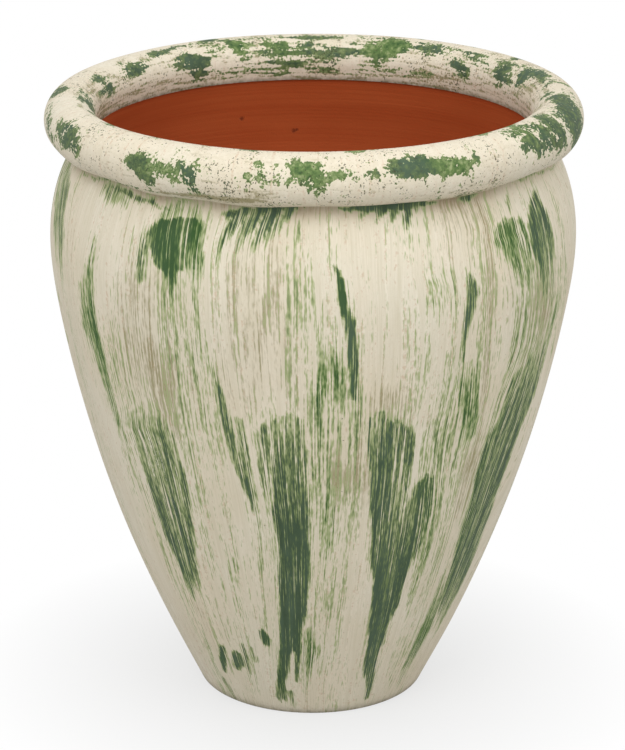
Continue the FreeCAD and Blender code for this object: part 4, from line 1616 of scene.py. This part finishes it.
@dataclass(frozen=True)
class LimewashFinish:
    """Limewash over fired clay, with greens brushed on nearly dry.

    The paint's thickness decides its colour: thin, it is a yellowish wash, and thick, a deep green.
    """

    lime_light: tuple[float, ...] = srgb(232, 225, 209)
    lime_warm: tuple[float, ...] = srgb(223, 209, 186)
    lime_grey: tuple[float, ...] = srgb(198, 189, 162)
    clay_tint: tuple[float, ...] = srgb(194, 164, 134)
    thin_green: tuple[float, ...] = srgb(166, 174, 128)
    mid_green: tuple[float, ...] = srgb(104, 121, 76)
    dark_green: tuple[float, ...] = srgb(52, 70, 46)
    dark_cool: tuple[float, ...] = srgb(80, 100, 80)
    dark_fresh: tuple[float, ...] = srgb(48, 80, 34)
    bright_green: tuple[float, ...] = srgb(88, 122, 56)
    olive: tuple[float, ...] = srgb(122, 114, 62)
    # Colour of the crease band under the roll: partly grime, partly painted shade
    crease_dirt_and_shade: tuple[float, ...] = srgb(150, 130, 100)
    worn_dirt: tuple[float, ...] = srgb(92, 84, 62)
    brown_speck: tuple[float, ...] = srgb(88, 66, 42)
    hair: tuple[float, float, float] = (1.6 * MM, 1.6 * MM, 60 * MM)
    bristle: tuple[float, float, float] = (3.6 * MM, 3.6 * MM, 120 * MM)
    tuft: tuple[float, float, float] = (12 * MM, 12 * MM, 190 * MM)
    dash: tuple[float, float, float] = (2.0 * MM, 2.0 * MM, 8 * MM)
    scratch: tuple[float, float, float] = (1.5 * MM, 1.5 * MM, 70 * MM)
    haze: tuple[float, float, float] = (38 * MM, 38 * MM, 260 * MM)
    blotch: tuple[float, float, float] = (13 * MM, 13 * MM, 16 * MM)
    crumb: tuple[float, float, float] = (5 * MM, 5 * MM, 5 * MM)
    grain: tuple[float, float, float] = (2.2 * MM, 2.2 * MM, 2.6 * MM)
    fleck: tuple[float, float, float] = (1.5 * MM, 1.5 * MM, 1.8 * MM)
    cloud: tuple[float, float, float] = (70 * MM, 70 * MM, 110 * MM)
    smear: tuple[float, float, float] = (26 * MM, 26 * MM, 3.4 * MM)
    inner_end: float = 62 * MM
    inner_soft: float = 14 * MM
    mid_level: float = 0.80
    pale_level: float = 0.57
    haze_level: float = 0.40
    load_gain: float = 1.28
    streak_depth: float = 0.88
    least_paint: float = 0.08
    first_cover: float = 0.22
    scratch_share: float = 0.24
    scratch_depth: float = 0.56
    thin_at: float = 0.40
    mid_at: float = 0.68
    dark_at: float = 0.95
    streak_weights: tuple[float, ...] = (0.34, 0.24, 0.18, 0.24)
    streak_strength: float = 2.3
    scratch_soft: float = 0.16
    round_dab_weights: tuple[float, ...] = (0.32, 0.34, 0.34)
    drawn_dab_weights: tuple[float, ...] = (0.46, 0.24, 0.30)
    dab_soft: float = 0.14
    dab_tone: float = 0.80
    dab_tone_weights: tuple[float, ...] = (0.12, 0.4, 0.3)
    fine_weights: tuple[float, ...] = (0.45, 0.35, 0.20)
    fine_strength: float = 2.0
    smear_weights: tuple[float, ...] = (0.6, 0.4)
    olive_weights: tuple[float, ...] = (0.95, 0.26, -0.80)
    # Olive on the roll's inner side towards the lip: partly smeared paint, partly painted shade inside the
    # mouth
    inner_olive_and_shade: tuple[float, float] = (0.26, 0.34)
    inner_olive_and_shade_drop: float = 0.8
    olive_gains: tuple[float, ...] = (2.2, 3.0)
    olive_strength: float = 0.72
    crease_dirt_and_shade_level: tuple[float, float] = (0.25, 0.45)
    crease_dirt_and_shade_in_gaps: float = 0.5
    crease_dirt_and_shade_strength: float = 0.8
    cool_weights: tuple[float, ...] = (0.5, 0.3, 0.2)
    mid_in_dark: float = 0.9
    mid_in_fresh: float = 0.45
    rim_specks: tuple[float, float] = (0.10, 0.18)
    wall_specks: float = 0.07
    speck_weights: tuple[float, ...] = (0.45, 0.3, 0.25)
    speck_soft: float = 0.05
    edge_strength: float = 0.85
    worn_level: tuple[float, float] = (0.5, 0.6)
    drag_gain: float = 1.1
    drag_drop: float = 0.1
    drag_weights: tuple[float, ...] = (0.7, 0.3)
    drag_soft: float = 0.2
    drag_strength: float = 0.75
    warm_weights: tuple[float, ...] = (0.6, 0.2)
    grey_weights: tuple[float, ...] = (0.45, 0.30, 0.25)
    mottle_weights: tuple[float, ...] = (0.5, 0.5)
    grey_strength: float = 0.6
    thin_cover: float = 0.16
    thin_weights: tuple[float, ...] = (0.3, 0.4, 0.3)
    thin_soft: float = 0.3
    thin_strength: float = 0.5
    bump_weights: tuple[float, ...] = (0.45, 0.3, 0.2)
    bump_height: float = 0.35 * MM
    dullness: float = 0.72
    dullness_change: float = 0.08
    specular: float = 0.25

    def build(self) -> bpy.types.Material:
        """Makes the painted outside's material.

        Returns:
            The material.
        """
        m = MaterialMaker("limewashed_clay")
        flow = m.vector("brush_flow")
        place = m.place()
        roll = m.amount("on_roll")
        hair = m.noise(flow, self.hair, detail=2.0)
        bristle = m.noise(flow, self.bristle, detail=2.0)
        tuft = m.noise(flow, self.tuft, detail=2.0)
        dash = m.noise(flow, self.dash, detail=1.0)
        scratch = m.covered(self.scratch_share, m.noise(flow, self.scratch, detail=1.0), self.scratch_soft)
        haze = m.noise(flow, self.haze, detail=2.0)
        blotch = m.noise(place, self.blotch, detail=3.0)
        crumb = m.noise(place, self.crumb, detail=2.0)
        grain = m.noise(place, self.grain, detail=2.0)
        fleck = m.noise(place, self.fleck, detail=1.0)
        cloud = m.noise(place, self.cloud, detail=2.0)
        dark = m.amount(Pigment.DARK.value)
        mid = m.amount(Pigment.MID.value)
        pale = m.amount(Pigment.PALE.value)

        streaks = blend((hair, bristle, tuft, dash), self.streak_weights).spread(self.streak_strength)
        run = Socket(m, m.node("ShaderNodeSeparateXYZ", None, {0: flow}).outputs["Z"])
        inner = ((self.inner_end - run) / self.inner_soft).clamped() * roll
        smear = m.noise(place, self.smear, detail=2.0)
        round_dabs = blend((blotch, crumb, grain), self.round_dab_weights)
        drawn_dabs = blend((smear, crumb, grain), self.drawn_dab_weights)
        dabbed = round_dabs.towards(drawn_dabs, inner).spread()
        load = dark.larger(mid * self.mid_level).larger(pale * self.pale_level).larger(haze * self.haze_level)
        over = load * self.load_gain - streaks * self.streak_depth - scratch * self.scratch_depth
        brushed = (over / self.first_cover).clamped() * (over * (1 - self.least_paint) + self.least_paint)
        by_paint, by_crumb, by_blotch = self.dab_tone_weights
        tone = (self.dab_tone + (dark - mid) * by_paint + (crumb - 0.5) * by_crumb
                + (blotch - 0.5) * by_blotch).clamped()
        sponged = m.covered(dark.larger(mid), dabbed, self.dab_soft) * tone
        paint = brushed.towards(sponged, roll).clamped()

        colour = self.lime(m, cloud, crumb, hair, bristle, tuft, grain, roll)
        fine = blend((hair, bristle, dash), self.fine_weights).spread(self.fine_strength)
        smears = blend((smear, grain), self.smear_weights).spread()
        worked = fine.towards(smears, roll)
        olive = blend((m.amount(Pigment.GRIME.value), cloud, worked), self.olive_weights).clamped()
        # The roll's inner side towards the lip turns olive in cloudy patches: partly smeared paint, partly
        # painted shade inside the mouth
        inner_smear_and_shade = (inner * cloud.level(*self.inner_olive_and_shade) - smears * self.inner_olive_and_shade_drop).clamped()
        olive = blend((olive, inner_smear_and_shade), self.olive_gains).clamped()
        colour = m.mix(olive * self.olive_strength, colour, self.olive)
        # The crease band darkens the wash: partly grime, partly painted shade under the roll
        crease_dirt_and_shade_share = m.amount("crease_grime_and_shade") * (cloud.level(*self.crease_dirt_and_shade_level) + (1 - fine) * self.crease_dirt_and_shade_in_gaps)
        colour = m.mix(crease_dirt_and_shade_share.clamped() * self.crease_dirt_and_shade_strength, colour, self.crease_dirt_and_shade)
        cool = blend((tuft, blotch, cloud), self.cool_weights).clamped()
        deep = m.mix(cool, self.dark_green, self.dark_cool)
        deep = m.mix((mid * self.mid_in_dark).clamped(), deep, self.dark_fresh)
        fresh = m.mix(mid * self.mid_in_fresh, self.mid_green, self.bright_green)
        colour = m.mix((paint / self.thin_at).clamped(), colour, self.thin_green)
        colour = m.mix(((paint - self.thin_at) / (self.mid_at - self.thin_at)).clamped(), colour, fresh)
        colour = m.mix(((paint - self.mid_at) / (self.dark_at - self.mid_at)).clamped(), colour, deep)
        speck_cover = roll * cloud.level(*self.rim_specks) + self.wall_specks
        speck = m.covered(speck_cover, blend((fleck, grain, blotch), self.speck_weights), self.speck_soft)
        speck_colour = m.mix(blotch, self.dark_green, self.brown_speck)
        colour = m.mix(speck * self.edge_strength, colour, speck_colour)
        worn = (m.amount("worn_edge") * crumb.level(*self.worn_level)).clamped()
        colour = m.mix(worn * self.edge_strength, colour, self.worn_dirt)
        drag_cover = m.amount(Pigment.WHITE.value) * self.drag_gain - self.drag_drop
        drag = m.covered(drag_cover, blend((bristle, grain), self.drag_weights).spread(), self.drag_soft)
        colour = m.mix(drag * (1 - roll) * self.drag_strength, colour, self.lime_light)
        bump = blend(((1 - streaks) * (1 - roll), grain, paint), self.bump_weights).clamped()
        roughness = self.dullness - paint * self.dullness_change + grain * self.dullness_change
        return m.finish(colour, roughness, bump, self.bump_height, self.specular)

    def lime(self, m: MaterialMaker, cloud: Socket, crumb: Socket, hair: Socket, bristle: Socket,
             tuft: Socket, grain: Socket, roll: Socket) -> Socket:
        """The limewash itself, thin in places and streaked by the brush.

        Args:
            m: The material's maker.
            cloud: The widest noise.
            crumb: The noise of crumbs in the wash.
            hair: The brush's finest lines.
            bristle: Its bristle lines.
            tuft: Its widest lines.
            grain: The clay's grain.
            roll: Where the rim's roll is.

        Returns:
            The wash's colour.
        """
        colour = m.mix(blend((cloud, crumb), self.warm_weights), self.lime_light, self.lime_warm)
        streaks = blend((hair, bristle, tuft), self.grey_weights).spread()
        mottle = blend((crumb, grain), self.mottle_weights)
        colour = m.mix(streaks.towards(mottle, roll) * self.grey_strength, colour, self.lime_grey)
        ragged = blend((grain, bristle, crumb), self.thin_weights).spread()
        thin = m.covered(self.thin_cover, ragged, self.thin_soft)
        return m.mix(thin * self.thin_strength, colour, self.clay_tint)


@dataclass(frozen=True)
class BareClayFinish:
    """Bare fired clay, smoothed on the wheel, with its faint turning lines and a few pits."""

    light: tuple[float, ...] = srgb(190, 96, 50)
    deep: tuple[float, ...] = srgb(172, 78, 36)
    pit_shade_colour: tuple[float, ...] = srgb(100, 46, 26)
    turning: tuple[float, float, float] = (160 * MM, 160 * MM, 2.4 * MM)
    band: tuple[float, float, float] = (400 * MM, 400 * MM, 16 * MM)
    patch: tuple[float, float, float] = (90 * MM, 90 * MM, 60 * MM)
    grit: tuple[float, float, float] = (0.9 * MM, 0.9 * MM, 0.9 * MM)
    tone_weights: tuple[float, ...] = (0.35, 0.35, 0.3)
    pit_reach: float = 1.5
    pit_grit: float = 0.8
    pit_drop: float = 0.4
    pit_shade_strength: float = 0.8
    bump_weights: tuple[float, ...] = (0.5, 0.2)
    bump_base: float = 0.3
    dullness: tuple[float, float] = (0.62, 0.1)
    bump_height: float = 0.2 * MM
    specular: float = 0.25

    def build(self, pits: list[tuple[Vector, float]]) -> bpy.types.Material:
        """Makes the bare inside's material.

        Args:
            pits: The place and the size of each pit in the clay.

        Returns:
            The material.
        """
        m = MaterialMaker("bare_clay")
        place = m.place()
        turning = m.noise(place, self.turning, detail=2.0)
        band = m.noise(place, self.band, detail=1.0)
        patch = m.noise(place, self.patch, detail=2.0)
        grit = m.noise(place, self.grit, detail=1.0)
        tone = blend((turning, band, patch), self.tone_weights).clamped()
        colour = m.mix(tone, self.deep, self.light)
        hollow: Socket | float = 0.0
        for centre, size in pits:
            offset = m.node("ShaderNodeVectorMath", {"operation": "DISTANCE"},
                            {0: place, 1: tuple(centre)})
            away = Socket(m, offset.outputs["Value"]) / size
            near = (self.pit_reach - away + grit * self.pit_grit - self.pit_drop).clamped()
            hollow = near + hollow
        # Painted shade: the pits are darkened in colour, besides their dent in the relief
        colour = m.mix(hollow.clamped() * self.pit_shade_strength, colour, self.pit_shade_colour)
        bump = (blend((turning, grit), self.bump_weights) + self.bump_base - hollow).clamped()
        return m.finish(colour, grit.level(*self.dullness), bump, self.bump_height, self.specular)


@dataclass(frozen=True)
class Lamp:
    """One soft studio lamp: where it stands, what it faces, its size and its power."""

    name: str
    place: tuple[float, float, float]
    aim: tuple[float, float, float]
    size: float
    power: float


@dataclass
class Studio:
    """The pale floor, the soft lamps and the plain white surround."""

    floor_radius: float = 30.0
    floor_colour: tuple[float, float, float, float] = (0.50, 0.50, 0.49, 1)
    floor_white: float = 0.70
    fade_start: float = 0.11
    fade_end: float = 0.34
    ambient: float = 0.62
    lamps: tuple[Lamp, ...] = (
        Lamp("key_lamp", (-1.3, -2.3, 2.4), (0, 0, 0.35), 2.4, 48),
        Lamp("fill_lamp", (2.2, -1.8, 2.2), (0, 0, 0.35), 2.4, 34),
        Lamp("top_lamp", (0.1, -0.3, 2.9), (0, 0, 0.4), 2.0, 10),
    )

    def build(self) -> None:
        """Puts the floor, the lamps and the surround into the scene."""
        self.floor()
        for lamp in self.lamps:
            self.light(lamp)
        self.surround()

    def floor(self) -> None:
        """A pale floor that keeps the planter's shadow and looks white to the camera."""
        form = bmesh.new()
        bmesh.ops.create_circle(form, cap_ends=True, segments=64, radius=self.floor_radius)
        mesh = bpy.data.meshes.new("floor")
        form.to_mesh(mesh)
        form.free()
        m = MaterialMaker("pale_floor")
        lit = m.node("ShaderNodeBsdfDiffuse", None, {"Color": self.floor_colour})
        white = m.node("ShaderNodeEmission", None, {"Color": (1, 1, 1, 1), "Strength": 1.0})
        centre = m.node("ShaderNodeVectorMath", {"operation": "LENGTH"}, {0: m.place()})
        away = (Socket(m, centre.outputs["Value"]) - self.fade_start) / (self.fade_end - self.fade_start)
        share = (away.clamped() * (1 - self.floor_white) + self.floor_white) * m.seen()
        shader = m.node("ShaderNodeMixShader", None, {
            0: share, 1: Socket(m, lit.outputs[0]), 2: Socket(m, white.outputs[0])})
        m.node("ShaderNodeOutputMaterial", None, {0: Socket(m, shader.outputs[0])})
        mesh.materials.append(m.material)
        made = bpy.data.objects.new("floor", mesh)
        bpy.context.scene.collection.objects.link(made)

    def light(self, lamp: Lamp) -> None:
        """Adds one soft lamp."""
        data = bpy.data.lights.new(lamp.name, "AREA")
        data.shape = "DISK"
        data.size = lamp.size
        data.energy = lamp.power
        made = bpy.data.objects.new(lamp.name, data)
        facing = Vector(lamp.aim) - Vector(lamp.place)
        made.location = lamp.place
        made.rotation_euler = facing.to_track_quat("-Z", "Y").to_euler()
        bpy.context.scene.collection.objects.link(made)

    def surround(self) -> None:
        """An even pale light all round, which the camera, gloss and glass see as white."""
        world = bpy.data.worlds.new("surround")
        bpy.context.scene.world = world
        world.use_nodes = True
        m = MaterialMaker("surround", world.node_tree)
        strength = m.seen() * (1 - self.ambient) + self.ambient
        light = m.node("ShaderNodeBackground", None, {"Color": (1, 1, 1, 1), "Strength": strength})
        m.node("ShaderNodeOutputWorld", None, {0: Socket(m, light.outputs[0])})


def read_section() -> Section:
    """Reads the overall sizes and the seams of the planter from its CAD nodes.

    Returns:
        The planter's section.
    """
    rim_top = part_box("rim_coil")[1]
    upper_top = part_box("upper_wall")[1]
    lower_foot, lower_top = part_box("lower_wall")
    return Section(overall_height=rim_top.z, rim_radius=rim_top.x, wall_seam=lower_top.z,
                   neck_seam=upper_top.z, base_seam=lower_foot.z)


def pit_places(view: PhotoView, section: Section) -> list[tuple[Vector, float]]:
    """Where the pits that the photograph shows inside the mouth lie on the inner wall.

    Args:
        view: The photograph's camera.
        section: The planter's section.

    Returns:
        The place and the size of each pit.
    """
    form = turned(section.inside(), steps=120, wedges=6)
    tree = BVHTree.FromBMesh(form)
    form.free()
    pits = []
    for x, y, size in PITS:
        origin, direction = view.ray(x, y)
        hit = tree.ray_cast(origin, direction)[0]
        if hit is not None and hit.y < 0:
            hit = tree.ray_cast(hit + direction * MM, direction)[0]
        if hit is not None:
            pits.append((hit, size))
    return pits


def main() -> None:
    """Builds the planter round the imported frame, then the studio."""
    logging.basicConfig(level=logging.INFO, format="%(name)s: %(message)s")
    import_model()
    bpy.context.scene.view_settings.view_transform = "Standard"
    section = read_section()
    view = PhotoView()
    view.build()
    outline = Outline(np.array(section.outside()))
    shaping = HandShaping(section.overall_height)
    rim_end = outline.run_at(*section.neck)
    painter = Painter(outline, view, shaping, rim_end)
    for stroke in WALL_STROKES + RIM_STROKES:
        painter.lay(stroke)
    painter.lay_unseen()
    materials = [LimewashFinish().build(), BareClayFinish().build(pit_places(view, section))]
    potter = Potter(outline, shaping, painter)
    for piece in ClaySections(section).pieces():
        potter.build(piece, materials)
    Studio().build()


if __name__ == "__main__":
    main()
